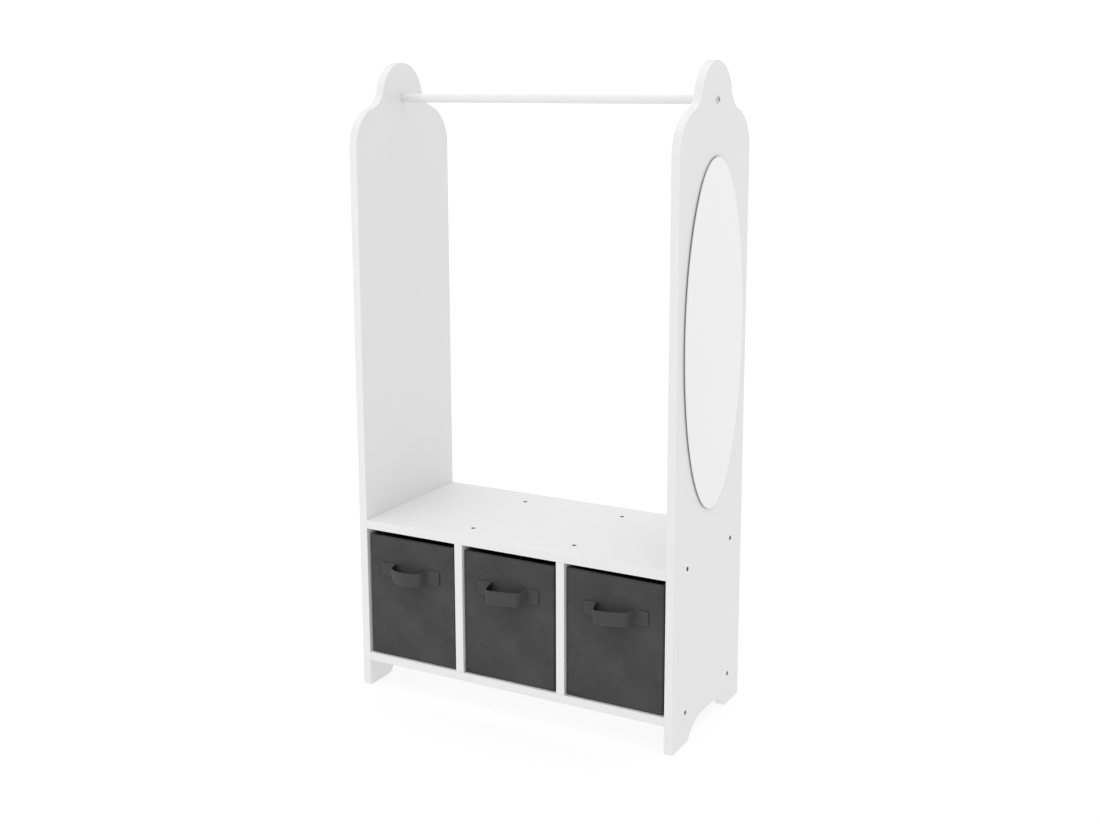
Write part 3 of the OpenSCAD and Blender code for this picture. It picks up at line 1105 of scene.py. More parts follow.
@dataclass
class Carcass:
    """The painted boards: panels, shelf, bottom board and dividers, with all their drilling."""

    ease: float = 0.6 * MM
    ease_rings: int = 3
    dowel: float = 8 * MM
    dowel_length: float = 30 * MM
    dowel_in: float = 10 * MM
    gap: float = 0.1 * MM
    groove_gap: float = 0.2 * MM
    rail: float = 15 * MM
    rail_socket: float = 5 * MM
    rail_gap: float = 0.15 * MM
    rail_chamfer: float = 0.5 * MM
    past: float = 1 * MM  # how far a cutter reaches past a face

    def drilling(self) -> Object:
        """Everything that is drilled and grooved, as one cutter.

        Returns:
            The cutter, to be removed when the boards are done.
        """
        cut = Solid()
        for places in ScrewSets().places().values():
            for place, out in places:
                cut.lathe(BOARD_SCREW.hole(), place, out, 48)
        r, length = self.dowel / 2 + self.gap, self.dowel_length + 2 * self.gap
        dowel = [(0.0, 0.0), (0.0, r), (length, r), (length, 0.0)]
        start = UNIT.inner_x + self.dowel_in - self.dowel_length - self.gap
        for side in Side:
            for z in UNIT.board_zs:
                cut.lathe(dowel, Vector((side.value * start, UNIT.mid_y, z)), side.out, 40)
        top = UNIT.shelf_under + self.dowel_in - self.dowel_length - self.gap
        for x in (-UNIT.divider_x, UNIT.divider_x):
            for z in (top, UNIT.base_top - self.dowel_in - self.gap):
                cut.lathe(dowel, Vector((x, UNIT.mid_y, z)), Axis.Z.value, 40)
        r, small = self.rail / 2 + self.rail_gap, RAIL_SCREW.core / 2 + self.gap
        deep, through = self.rail_socket, UNIT.board + self.past
        rail = [(-self.past, 0.0), (-self.past, r), (deep, r), (deep, small)]
        rail += [(through, small), (through, 0.0)]
        for side in Side:
            foot = Vector((side.value * UNIT.inner_x, UNIT.mid_y, UNIT.rail_z))
            cut.lathe(rail, foot, side.out, 64)
        reach, slack = UNIT.inner_x + UNIT.groove, self.groove_gap
        cut.box(
            (-reach, UNIT.back_board_y - slack, UNIT.base_top - UNIT.groove),
            (reach, UNIT.back_board_y + UNIT.back_board + slack, UNIT.shelf_under + UNIT.groove),
        )
        return cut.make("drilling")

    def finish_board(self, name: str, form: Solid, cutter: Object, face: Axis) -> Object:
        """Ease a board's arrises, drill it, and paint its faces and edges.

        Args:
            name: Name of the piece.
            form: The board before it is worked.
            cutter: What is taken out of it.
            face: The axis that its broad faces look along.

        Returns:
            The finished board.
        """
        board = form.make(name, FINISH.board, FINISH.edge)
        ease = board.modifiers.new("eased_arris", "BEVEL")
        ease.width, ease.segments = self.ease, self.ease_rings
        ease.limit_method, ease.angle_limit = "ANGLE", math.radians(30)
        drill = board.modifiers.new("drilling", "BOOLEAN")
        drill.operation, drill.solver, drill.object = "DIFFERENCE", "EXACT", cutter
        apply_modifiers(board)
        self.drop_strays(board, form)
        while len(board.data.materials) > 2:
            board.data.materials.pop()
        smooth(board)
        for polygon in board.data.polygons:
            broad = abs(polygon.normal.dot(face.value)) > 0.999 and polygon.area > 1e-4
            polygon.material_index = 0 if broad else 1
        return board

    def drop_strays(self, board: Object, form: Solid) -> None:
        """Delete what the solver left of far-off drillings outside the board.

        Args:
            board: The drilled board.
            form: The board before it was worked.
        """
        lows, highs = ([f(p[k] for p in form.points) for k in range(3)] for f in (min, max))
        shell = bmesh.new()
        shell.from_mesh(board.data)
        strays = [
            vert for vert in shell.verts
            if any(
                not low - self.gap < at < high + self.gap
                for low, at, high in zip(lows, vert.co, highs)
            )
        ]
        bmesh.ops.delete(shell, geom=strays, context="VERTS")
        bmesh.ops.remove_doubles(shell, verts=shell.verts, dist=HAIR)
        shell.to_mesh(board.data)
        shell.free()

    def rail_bar(self) -> Object:
        """The hanging rail: a round bar with eased ends and a pilot hole in each.

        Returns:
            The rail.
        """
        end, r, c = UNIT.inner_x + self.rail_socket, self.rail / 2, self.rail_chamfer
        pilot = RAIL_SCREW.length - (UNIT.outer_x - end) + self.gap
        hole = RAIL_SCREW.core / 2 + self.gap
        right = [(end - c, r), (end - 0.3 * c, r - 0.3 * c), (end, r - c), (end, hole)]
        right += [(end - pilot, hole), (end - pilot, 0.0)]
        left = [(-a, b) for a, b in reversed(right)]
        bar = Solid()
        bar.lathe(left + right, Vector((0, UNIT.mid_y, UNIT.rail_z)), Axis.X.value, 96)
        rail = bar.make("hanging_rail_bar", FINISH.rail)
        smooth(rail)
        return rail

    def build(self) -> None:
        """Make every board and the rail, and put them on the carcass."""
        cutter = self.drilling()
        ix, dx, half = UNIT.inner_x, UNIT.divider_x, UNIT.board / 2
        boards = []
        for side, x0 in ((Side.LEFT, -UNIT.outer_x), (Side.RIGHT, UNIT.inner_x)):
            panel = Solid()
            outline = [Vector((x0, UNIT.mid_y + q, z)) for q, z in PanelOutline().whole()]
            panel.prism(outline, Vector((UNIT.board, 0, 0)))
            name = side.name.lower()
            boards.append((f"side_panel_{name}", f"{name}_side_panel", panel, Axis.X))
        upper, lower = (UNIT.shelf_under, UNIT.shelf_top), (UNIT.base_under, UNIT.base_top)
        between, short = (UNIT.base_top, UNIT.shelf_under), UNIT.back_board_y - self.groove_gap
        for name, node, (x0, x1), y1, (z0, z1), face in (
            ("shelf_board", "shelf", (-ix, ix), UNIT.back_y, upper, Axis.Z),
            ("base_board", "bottom_board", (-ix, ix), UNIT.back_y, lower, Axis.Z),
            ("divider_left", "left_divider", (-dx - half, -dx + half), short, between, Axis.X),
            ("divider_right", "right_divider", (dx - half, dx + half), short, between, Axis.X),
        ):
            form = Solid()
            form.box((x0, UNIT.front_y, z0), (x1, y1, z1))
            boards.append((name, node, form, face))
        for name, node, form, face in boards:
            dress(self.finish_board(name, form, cutter, face), "carcass", "white_board", node)
        bpy.data.objects.remove(cutter, do_unlink=True)
        dress(self.rail_bar(), "carcass", "white_rail", "hanging_rail")
        finish_cad("back_panel", FINISH.hardboard)
        finish_cad("locating_dowels", FINISH.beech)


# ---------------------------------------------------------------- the mirror


@dataclass
class OvalMirror:
    """The mirror: an oval of silvered glass with a ground edge, held by foam tape."""

    width: float = 236 * MM
    height: float = 567 * MM
    middle: float = 658 * MM
    glass: float = 2 * MM
    tape: float = 1 * MM
    seam: float = 0.3 * MM
    ground: float = 0.7 * MM
    steps: int = 240

    def ring(self, inset: float, x: float) -> list[Vector]:
        """One ring round the oval.

        Args:
            inset: How far inside the glass' rim.
            x: Where it lies across the glass.

        Returns:
            Its points.
        """
        turns = (2 * math.pi * i / self.steps for i in range(self.steps))
        a, b = self.width / 2 - inset, self.height / 2 - inset
        return [
            Vector((x, UNIT.mid_y + a * math.cos(t), self.middle + b * math.sin(t))) for t in turns
        ]

    def build(self) -> None:
        """Make the glass and finish its tape."""
        back = UNIT.outer_x + self.tape
        front = back + self.glass
        # From the silvered back round the rim: a fine seam, the ground edge, the polished round.
        stations = [(self.seam, back), (0.0, back + self.seam), (0.0, front - self.ground)]
        stations += [(a, front - b) for a, b in quarter((22.5, 45, 67.5, 90), self.ground)]
        glass = Solid()
        glass.tube([self.ring(inset, x) for inset, x in stations])
        oval = glass.make("oval_mirror_glass", FINISH.mirror, FINISH.glass_edge)
        # Seam and edge are ground, and the silver stops just short of the polished round.
        ground = (0, 1, len(stations) - 2)
        for polygon in oval.data.polygons:
            polygon.material_index = int((polygon.index - 1) // self.steps in ground)
        smooth(oval, 50)
        dress(oval, "carcass", "mirror_glass", "mirror")
        finish_cad("mirror_tape", FINISH.foam)


# ---------------------------------------------------------------- the bins


@dataclass(frozen=True)
class Stitching:
    """Rows of short, slightly uneven stitches."""

    pitch: float = 3.4 * MM
    stitch: float = 2.7 * MM
    thickness: float = 0.55 * MM
    wander: float = 5.0  # greatest slant of a stitch, in degrees

    @cache
    def tree(self) -> NodeTree:
        """Make the tree that lays stitches along its host's lines.

        Returns:
            The tree, with the stitches' sizes as inputs.
        """
        tree, given = new_tree("stitches", "Pitch", "Stitch", "Thickness", "Wander")
        seam = add_node(tree, "GeometryNodeMeshToCurve", {"Mesh": given["Geometry"]})
        spaced = {"Curve": seam, "Length": given["Pitch"]}
        spaced = add_node(tree, "GeometryNodeResampleCurve", spaced, mode="LENGTH")
        bead = {"Segments": 6, "Rings": 5, "Radius": 0.5}
        size = {"X": given["Stitch"], "Y": given["Thickness"], "Z": given["Thickness"]}
        thread = add_node(tree, "GeometryNodeTransform", {
            "Geometry": add_node(tree, "GeometryNodeMeshUVSphere", bead),
            "Scale": add_node(tree, "ShaderNodeCombineXYZ", size),
        })
        least = {0: given["Wander"], 1: -1.0}
        least = add_node(tree, "ShaderNodeMath", least, operation="MULTIPLY")
        along = add_node(tree, "GeometryNodeInputTangent")
        spin = ((0.0, 1.0, 0.0), least, given["Wander"])
        end_tree(tree, given, spaced, thread, ("X", along), spin)
        return tree

    def sew(self, name: str, seams: Solid, seed: int) -> Object:
        """Sew along lines.

        Args:
            name: Name of the piece.
            seams: The lines.
            seed: Seed of the stitches' slants.

        Returns:
            The stitches.
        """
        mesh = bpy.data.meshes.new(name)
        mesh.from_pydata(seams.points, seams.faces, [])
        sewn = put(name, mesh)
        grow(sewn, self.tree(), {
            "Pitch": self.pitch, "Stitch": self.stitch, "Thickness": self.thickness,
            "Wander": math.radians(self.wander), "Seed": seed,
            "Material": FINISH.thread.material(),
        })
        sewn.data.shade_smooth()
        return sewn


@dataclass(frozen=True)
class LoopForm:
    """How one handle's strap lies, as the photograph shows each; pairs are left, then right.

    Attributes:
        ends: Where its sewn ends stop, from the handle's middle.
        roots: Where it leaves the bin's front.
        corners: Where the front corners of its loop stand.
        out: How far each corner stands out.
        drop: How far each corner hangs down.
        bow: How far out the front's middle stands.
        swing: Radius of the bow.
        belly: How much lower the front's middle hangs than its corners.
        round_off: Radius of the corners.
    """

    ends: tuple[float, ...]
    roots: tuple[float, ...]
    corners: tuple[float, ...]
    out: tuple[float, ...]
    drop: tuple[float, ...]
    bow: float
    swing: float
    belly: float
    round_off: float


@dataclass(frozen=True)
class StrapSpot:
    """One place along a strap: its middle, the ways out of and across it, and how far along."""

    place: Vector
    out: Vector
    across: Vector
    along: float

    def point(self, side: float, rise: float) -> Vector:
        """The point a distance across the strap and a rise over its middle plane."""
        return self.place + self.across * side + self.out * rise


@dataclass
class StrapHandle:
    """A bin's handle: one folded strap, sewn down at both ends, that stands out in a loop."""

    loop: LoopForm
    middle: Vector
    width: float = 25 * MM
    thick: float = 2.4 * MM
    seam_in: float = 2.2 * MM
    root_round: float = 2.2 * MM
    edge_round: float = 1 * MM
    spacing: float = 1.1 * MM
    seam_groove: tuple[float, ...] = mm(0.34, 0.45)  # how deep and wide a seam is sunk
    crown: float = 0.1 * MM
    lean: float = 8.0  # degrees that the front's upper edge tips outwards

    def fillet(self, corners: list[tuple[Vector, float]]) -> list[Vector]:
        """Round a line's corners.

        Args:
            corners: Corner points with the radius at each.

        Returns:
            The rounded line's points.
        """
        line = [corners[0][0]]
        for (before, _), (here, radius), (after, _) in zip(corners, corners[1:], corners[2:]):
            a, b = (before - here).normalized(), (after - here).normalized()
            angle = a.angle(b)
            if math.pi - angle < 0.01:
                line.append(here)
                continue
            back = radius / math.tan(angle / 2)
            hub = here + (a + b).normalized() * (radius / math.sin(angle / 2))
            start, end = here + a * back - hub, here + b * back - hub
            turn = start.angle(end)
            count = max(3, math.ceil(math.degrees(turn) / 9))
            for i in range(count + 1):
                near, far = math.sin((1 - i / count) * turn), math.sin(i / count * turn)
                line.append(hub + (start * near + end * far) / math.sin(turn))
        line.append(corners[-1][0])
        return line

    def plan(self) -> list[Vector]:
        """The strap's middle line as seen from above, with its corners rounded.

        Returns:
            Its points.
        """
        form, t = self.loop, self.thick / 2
        (x0, x1), (out0, out1), (r0, r1) = form.corners, form.out, form.roots
        return self.fillet([
            (Vector((form.ends[0], -t)), 0.0),
            (Vector((r0 + t, -t)), self.root_round),
            (Vector((x0 + t, t - out0)), form.round_off),
            (Vector(((x0 + x1) / 2, t - form.bow)), form.swing),
            (Vector((x1 - t, t - out1)), form.round_off),
            (Vector((r1 - t, -t)), self.root_round),
            (Vector((form.ends[1], -t)), 0.0),
        ])

    def spots(self) -> list[StrapSpot]:
        """Evenly spaced places along the strap, from its left end to its right.

        Returns:
            The places, sagging and tipping outwards where the loop stands free.
        """
        plan, form, up = self.plan(), self.loop, Axis.Z.value
        lengths = distances(plan)
        count = math.ceil(lengths[-1] / self.spacing)
        line, free, k = [], [], 0
        for i in range(count + 1):
            s = lengths[-1] * i / count
            while k < len(plan) - 2 and lengths[k + 1] < s:
                k += 1
            t = (s - lengths[k]) / max(lengths[k + 1] - lengths[k], 1e-9)
            flat = plan[k].lerp(plan[k + 1], min(t, 1.0))
            u = clamp((flat.x - form.corners[0]) / (form.corners[1] - form.corners[0]))
            free.append(ease((-self.thick / 2 - flat.y) / (mix(form.out, u) - self.thick)))
            fall = mix(form.drop, u) + 4 * form.belly * u * (1 - u)
            line.append(Vector((flat.x, flat.y, -fall * free[i])))
        spots, along = [], 0.0
        for i, here in enumerate(line):
            way = line[min(i + 1, count)] - line[max(i - 1, 0)]
            level = Vector((way.y, -way.x, 0)).normalized()
            tip = math.radians(self.lean) * free[i]
            across = up * math.cos(tip) + level * math.sin(tip)
            out = level * math.cos(tip) - up * math.sin(tip)
            along += (here - line[i - 1]).length if i else 0.0
            spots.append(StrapSpot(self.middle + here, out, across, along))
        return spots

    def surface(self, side: float) -> float:
        """Height of the strap's face over its middle plane, with the sunk seams.

        Args:
            side: Distance across the strap from its middle.

        Returns:
            The height.
        """
        sunk = bell(abs(side) - (self.width / 2 - self.seam_in), *self.seam_groove)
        crown = self.crown * (1 - math.cos(math.pi * side / self.width))
        return self.thick / 2 - sunk - crown

    def section(self) -> Profile:
        """The strap's cross-section: two pressed layers with a sunk seam near each edge.

        Returns:
            Points as place across the strap and height over its middle.
        """
        w, t, r = self.width / 2, self.thick / 2, self.edge_round
        seam = w - self.seam_in
        across = [w - r, w - 1.5 * MM, seam + 0.35 * MM, seam, seam - 0.35 * MM, seam - 0.9 * MM]
        across += [w * 0.55, w * 0.25, 0.0]
        across += [-a for a in reversed(across[:-1])]
        top = [(a, self.surface(a)) for a in across]
        low = [(-a, -h) for a, h in top]
        edge = (math.radians(d) for d in (60, 30, 0, -30, -60))
        side = [(w - r + r * math.cos(a), t * math.sin(a)) for a in edge]
        return list(reversed(side)) + top + [(-a, h) for a, h in side] + low

    def build(self, name: str) -> tuple[Object, Solid]:
        """Loft the strap.

        Args:
            name: Name of the piece.

        Returns:
            The strap, and the lines of its seams.
        """
        spots, section = self.spots(), self.section()
        n, loft = len(section), Solid()
        loft.tube([[spot.point(a, h) for a, h in section] for spot in spots])
        piece = loft.make(name, FINISH.strap, FINISH.strap_underside_painted_shade)
        # Faces on the strap's underside get the near-black finish: painted shade for the hollow
        # inside the loop.
        under = {j for j in range(n) if section[j][1] < 0 and section[(j + 1) % n][1] < 0}
        girth = distances([*section, section[0]])
        layer = piece.data.uv_layers.new(name="cloth").data
        for polygon in piece.data.polygons:
            js = [v % n for v in polygon.vertices]
            wraps = len(js) == 4 and max(js) - min(js) == n - 1
            if len(js) == 4 and (max(js) if wraps else min(js)) in under:
                polygon.material_index = 1
            for corner, v, j in zip(polygon.loop_indices, polygon.vertices, js):
                layer[corner].uv = (spots[v // n].along, girth[n if wraps and j == 0 else j])
        smooth(piece, 50)
        return piece, self.seams(spots)

    def seams(self, spots: list[StrapSpot]) -> Solid:
        """Lines that the stitches follow: both long edges, and a crossed box on each tab.

        Args:
            spots: Places along the strap.

        Returns:
            The lines.
        """
        lift, seam = self.thick / 2 - 0.2 * MM, self.width / 2 - self.seam_in
        up, rise = self.width / 2 - 2.6 * MM, self.thick / 2 - 0.05 * MM
        whole, skip = spots[-1].along, 1.5 * MM
        tabs = [abs(root - end) for root, end in zip(self.loop.roots, self.loop.ends)]
        rows = []  # each row's start and end, along and across, its rise and its parts
        for side in (-seam, seam):
            rows.append(((skip, side), (whole - skip, side), lift, 156))
            inner, outer = tabs[0] + 3 * MM, whole - tabs[1] - 3 * MM
            rows.append(((inner, side), (outer, side), -lift, 100))
        for start, tab, way in ((0.0, tabs[0], 1), (whole, tabs[1], -1)):
            near, far = start + way * 2.6 * MM, start + way * (tab - 3.2 * MM)
            for x0, x1, y0, y1 in (
                (near, near, -up, up), (far, far, -up, up),
                (near, far, -up, up), (near, far, up, -up),
            ):
                rows.append(((x0, y0), (x1, y1), rise, 12))
        lines = Solid()
        for start, end, height, steps in rows:
            row = []
            for i in range(steps + 1):
                along, side = (a + (b - a) * i / steps for a, b in zip(start, end))
                spot = min(spots, key=lambda candidate: abs(candidate.along - along))
                row.append(spot.point(side, height))
            lines.line(row)
        return lines


@dataclass
class ClothBin:
    """One bin: a cover of cloth over four stiff boards, a lining, a loose base board and a strap.

    Attributes:
        name: Which bin, as in the CAD's names.
        centre_x: Its middle.
        handle_x: How far its handle stands from its middle.
        rim: How far its rim rises or sinks at its left and right end.
        folds: Depth of the fold at the front's lower left, and of the dent at its lower right.
        seed: Sets how its cloth lies.
        loop: How its handle stands.
        side_slack: How much of its slack the side walls' cloth keeps, pressed by the cubby.
    """

    name: str
    centre_x: float
    handle_x: float
    rim: tuple[float, ...]
    folds: tuple[float, ...]
    seed: float
    loop: LoopForm
    width: float = 173 * MM
    depth: float = 261.5 * MM
    height: float = 218 * MM
    base: float = 62.3 * MM
    recess: float = 5.5 * MM
    corner: float = 2.2 * MM
    cloth: float = 1 * MM
    board: float = 2 * MM
    hem: float = 14 * MM
    fold: float = 8 * MM
    edge_seam: float = 6.1 * MM
    rim_seam: float = 5 * MM
    handle_drop: float = 47.5 * MM
    strap: float = 25 * MM
    pitch: float = 2.8 * MM
    deepest: float = 0.8 * MM
    side_slack: float = 0.7
    slack: float = 0.35 * MM
    wave: float = 0.85 * MM
    wave_size: float = 62 * MM
    ripple: float = 0.2 * MM
    ripple_size: float = 23 * MM
    tight: float = 9 * MM  # how near an edge the cloth is drawn tight
    rise_reach: float = 45 * MM  # how far down the wall the rim's rise is felt
    # How deep and wide the cloth is drawn in at its seams and its bottom fold.
    edge_groove: tuple[float, ...] = mm(0.42, 0.55)
    rim_groove: tuple[float, ...] = mm(0.25, 0.7)
    fold_groove: tuple[float, ...] = mm(0.45, 0.8)
    fold_lip: tuple[float, ...] = mm(0.22, 2.4)

    @property
    def front_y(self) -> float:
        """Y of the bin's front."""
        return UNIT.front_y + self.recess

    @property
    def wall(self) -> float:
        """Thickness of a wall under its hem: cloth, board and lining."""
        return 2 * self.cloth + self.board

    def stations(self, half: float) -> list[float]:
        """Places along one wall's straight part, closer together at its two seams.

        Args:
            half: Half of the straight part.

        Returns:
            Places from one end to just before the other.
        """
        seam = half + self.corner - self.edge_seam
        close = [seam - 2.4 * MM, seam - 1.2 * MM, seam - 0.5 * MM, seam, seam + 0.5 * MM, half]
        count = math.floor((close[0] - self.pitch / 2) / self.pitch)
        right = [close[0] * i / (count + 1) for i in range(count + 1)] + close
        return [-v for v in reversed(right[1:])] + right[:-1]

    def ring(self, inset: float) -> list[tuple[Vector, Vector, float]]:
        """One level ring round the bin.

        Args:
            inset: How far it lies inside the bin's outside.

        Returns:
            For each point its place about the bin's middle, the way out, and the straight
            place along the wall, or nan in a corner.
        """
        r = max(self.corner - inset, 0.5 * MM)
        halves = (self.width / 2 - self.corner, self.depth / 2 - self.corner)
        reach = (self.width / 2 - inset, self.depth / 2 - inset)
        points = []
        for k in range(4):
            turn = Matrix.Rotation(k * math.pi / 2, 2)
            long, wide = (reach[0], reach[1]) if k % 2 == 0 else (reach[1], reach[0])
            half = halves[k % 2]
            scale = (long - r) / half
            for s in self.stations(half):
                points.append((turn @ Vector((s * scale, -wide)), turn @ Vector((0, -1)), s))
            for i in range(6):
                a = math.radians(-90 + 15 * i)
                out = Vector((math.cos(a), math.sin(a)))
                hub = Vector((long - r, -wide + r))
                points.append((turn @ (hub + out * r), turn @ out, math.nan))
        return points

    def swell(self, place: Vector, out: Vector, along: float, z: float) -> float:
        """How far the cloth stands off its board at a point of a wall.

        Args:
            place: The point about the bin's middle.
            out: The way out of the wall.
            along: Its place along the wall's straight part, or nan.
            z: Its height over the bin's underside.

        Returns:
            The distance outwards.
        """
        spot = Vector((place.x, place.y, z))
        drift = Vector((self.seed, 2 * self.seed, 0.3 * self.seed))
        wall = self.width if abs(out.y) > 0.5 else self.depth
        straight = not math.isnan(along)
        from_edge = wall / 2 - abs(along) if straight else 0.0
        # Slack cloth stands off its board in broad low waves, but is drawn tight at the edges.
        off = self.slack + self.wave * noise.noise(spot / self.wave_size + drift)
        off += self.ripple * noise.noise(spot / self.ripple_size - drift)
        off *= 1.0 if abs(out.y) > 0.5 else self.side_slack
        off = max(off, -0.5 * MM) * (1 - math.exp(-from_edge / self.tight))
        if straight:
            off -= bell(from_edge - self.edge_seam, *self.edge_groove)
        off -= bell(self.height - self.rim_seam - z, *self.rim_groove)
        # The bottom fold: a lip that stands proud over a sharp crease.
        off -= bell(z - self.fold, *self.fold_groove)
        off += bell(z - 0.45 * self.fold, *self.fold_lip)
        if out.y < -0.9 and straight:
            off += self.corner_folds(wall / 2 + along, wall / 2 - along, z)
        off = max(off, -self.deepest)
        if out.y < -0.9:
            # The strap's tabs hold the cloth down round them.
            strap_z = self.height - self.handle_drop - self.strap / 2
            dx = max(0.0, abs(place.x - self.handle_x) - 58 * MM)
            dz = max(0.0, abs(z - strap_z) - 14 * MM)
            off *= 1 - math.exp(-((dx * dx + dz * dz) / (7 * MM) ** 2))
        fade = min(1.0, z / (4 * MM)) * min(1.0, (self.height - z) / (6 * MM))
        return off * max(fade, 0.0)

    def corner_folds(self, from_left: float, from_right: float, z: float) -> float:
        """Slanting fold at the front's lower left, and the dent at its lower right.

        Args:
            from_left: Distance from the front's left edge.
            from_right: Distance from its right edge.
            z: Height over the bin's underside.

        Returns:
            The distance outwards.
        """
        over = z - (self.fold + 2 * MM - 0.2 * from_left)
        step = 1 / (1 + math.exp(-over / (0.3 * MM)))
        lip = bell(max(over, 0.0), step, 6 * MM) - 0.8 * (1 - step)
        fade = math.exp(-((from_left / (36 * MM)) ** 4)) * (1 - math.exp(-from_left / (1.2 * MM)))
        reach = (from_right - 7 * MM) ** 2 + (z - 8 * MM) ** 2
        dent = math.exp(-reach / (7 * MM) ** 2) * math.cos((from_right - z) / (2.2 * MM))
        return self.folds[0] * fade * lip + self.folds[1] * dent

    def placed(self, spot: Vector, x: float, z: float, free: bool = True) -> Vector:
        """Where a point of the cloth lies in the unit.

        Args:
            spot: The point about the bin's middle.
            x: Place across the bin, which sets how far the rim rises there.
            z: Its height over the bin's underside.
            free: Whether it rises with the rim.

        Returns:
            The point. The rim's rise fades out down the wall.
        """
        rise = mix(self.rim, clamp(x / self.width + 0.5))
        rise *= ease(1 - (self.height - z) / self.rise_reach)
        origin = Vector((self.centre_x, self.front_y + self.depth / 2, self.base))
        return origin + Vector((spot.x, spot.y, z + (rise if free else 0.0)))

    def loft(self, name: str, profile: Profile, cloth: Finish) -> Object:
        """Loft a shell of cloth round the bin, closed at both ends of its profile by a floor.

        Args:
            name: Name of the piece.
            profile: Inset and height, from the underside's edge to the inner floor's edge. The
                cloth swells where it lies on the outside, away from its ends.
            cloth: The cloth's finish.

        Returns:
            The shell, with a UV map in metres.
        """
        rings, pocket = [], (self.cloth, self.wall)
        for inset, z in profile:
            live = inset == 0.0 and 2 * MM < z < self.height - 2 * MM
            free = live or z > self.height - 3 * MM and inset not in pocket
            rings.append([
                self.placed(
                    place + out * (self.swell(place, out, along, z) if live else 0.0),
                    place.x, z, free,
                )
                for place, out, along in self.ring(inset)
            ])
        n, shell = len(rings[0]), Solid()
        shell.tube(rings)
        piece = shell.make(name, cloth)
        first = [p for p, _, _ in self.ring(0.0)]
        around, down = distances([*first, first[0]]), distances(profile)
        layer = piece.data.uv_layers.new(name="cloth").data
        for polygon in piece.data.polygons:
            js = [v % n for v in polygon.vertices]
            wraps = max(js) - min(js) == n - 1
            for corner, v, j in zip(polygon.loop_indices, polygon.vertices, js):
                if len(js) > 4:
                    layer[corner].uv = piece.data.vertices[v].co.xy
                else:
                    layer[corner].uv = (around[n if wraps and j == 0 else j], down[v // n])
        smooth(piece, 60)
        return piece

    def cover_profile(self) -> Profile:
        """The cover's cut: up the outside, over the rim, down the hem, and back inside.

        Returns:
            Inset and height, in order.
        """
        h, t, thick, rows = self.height, self.cloth, self.wall, 38
        lip, hem, tuck = thick + 0.9 * t, h - self.hem, 0.4 * MM
        start, end, seam = 16 * MM, h - 8 * MM, h - self.rim_seam
        rim = [(a, h - b) for a, b in quarter((0, 22.5, 45, 67.5, 90), 1.3 * MM)]
        return [
            *((b, a) for a, b in quarter((0, 30, 60, 90), 0.9 * MM)),
            *((0.0, (2.4 + 0.8 * i) * MM) for i in range(13)),
            *((0.0, start + (end - start) * i / rows) for i in range(rows + 1)),
            *((0.0, seam + d * MM) for d in (-1.4, -0.7, 0, 0.7, 1.4)),
            *rim, *((lip - inset, z) for inset, z in reversed(rim)),
            (lip, hem), (lip - 0.25 * t, hem - tuck), (thick, hem - tuck),
            (thick, h - 1.5 * MM), (t, h - 1.5 * MM), (t, t),
        ]

    def lining_profile(self) -> Profile:
        """The lining's cut: up behind the wall boards, and down inside the bin.

        Returns:
            Inset and height, in order.
        """
        outer, inner, top = self.cloth + self.board, self.wall, self.height - 1.5 * MM
        return [
            (outer, self.cloth), (outer, top), (inner, top), (inner, 3.2 * MM),
            (inner + 0.3 * MM, 2.4 * MM), (inner + 1.2 * MM, 2 * self.cloth),
        ]

    def base_profile(self) -> Profile:
        """The loose base board's cut: a cloth-covered board with soft edges.

        Returns:
            Inset and height, in order.
        """
        side, low, thick = 4.8 * MM, 2 * self.cloth, 3 * MM
        edge = quarter((0, 30, 60, 90), 1.1 * MM)
        lower = [(side + b, low + a) for a, b in edge]
        return lower + [(side + a, low + thick - b) for a, b in edge]

    def cover_seams(self) -> Solid:
        """Lines that the cover's stitches follow: beside each upright edge, and the hem.

        Returns:
            The lines.
        """
        rows, ring = Solid(), self.ring(0.0)

        def row(spots: Sequence[tuple[Vector, Vector, float]], lift: float, zs: list) -> None:
            """Add a row of stitches a little over the cloth's face."""
            rows.line([
                self.placed(p + out * (self.swell(p, out, along, z) + lift), p.x, z)
                for (p, out, along), z in zip(spots, zs)
            ])

        row([*ring, ring[0]], 0.05 * MM, [self.height - self.rim_seam] * (len(ring) + 1))
        upright = [11 * MM + (self.height - 19 * MM) * i / 47 for i in range(48)]
        for place, out, along in ring:
            half = self.width / 2 if abs(out.y) > 0.5 else self.depth / 2
            if abs(half - abs(along) - self.edge_seam) < 0.05 * MM:  # never where along is nan
                row([(place, out, along)] * 48, 0.02 * MM, upright)
        return rows

    def build(self) -> None:
        """Make the bin and put it on its body."""
        body = f"{self.name}_bin"
        for piece, node, profile, cloth in (
            ("cloth_cover", "cover", self.cover_profile(), FINISH.cloth),
            ("cloth_lining", "lining", self.lining_profile(), FINISH.lining),
            ("covered_base", "base_board", self.base_profile(), FINISH.lining),
        ):
            shell = self.loft(f"{self.name}_{piece}", profile, cloth)
            dress(shell, body, "grey_fabric", f"{body}_{node}")
        finish_cad(f"{body}_wall_boards", FINISH.card)
        strap_z = self.base + self.height - self.handle_drop - self.strap / 2
        middle = Vector((self.centre_x + self.handle_x, self.front_y, strap_z))
        loop, seams = StrapHandle(self.loop, middle).build(f"{self.name}_strap_handle")
        dress(loop, body, "grey_webbing", f"{body}_handle")
        edges = self.cover_seams()
        seams.add(edges.points, edges.faces)
        sewn = Stitching().sew(f"{self.name}_stitching", seams, round(10 * self.seed))
        dress(sewn, body, "grey_webbing")


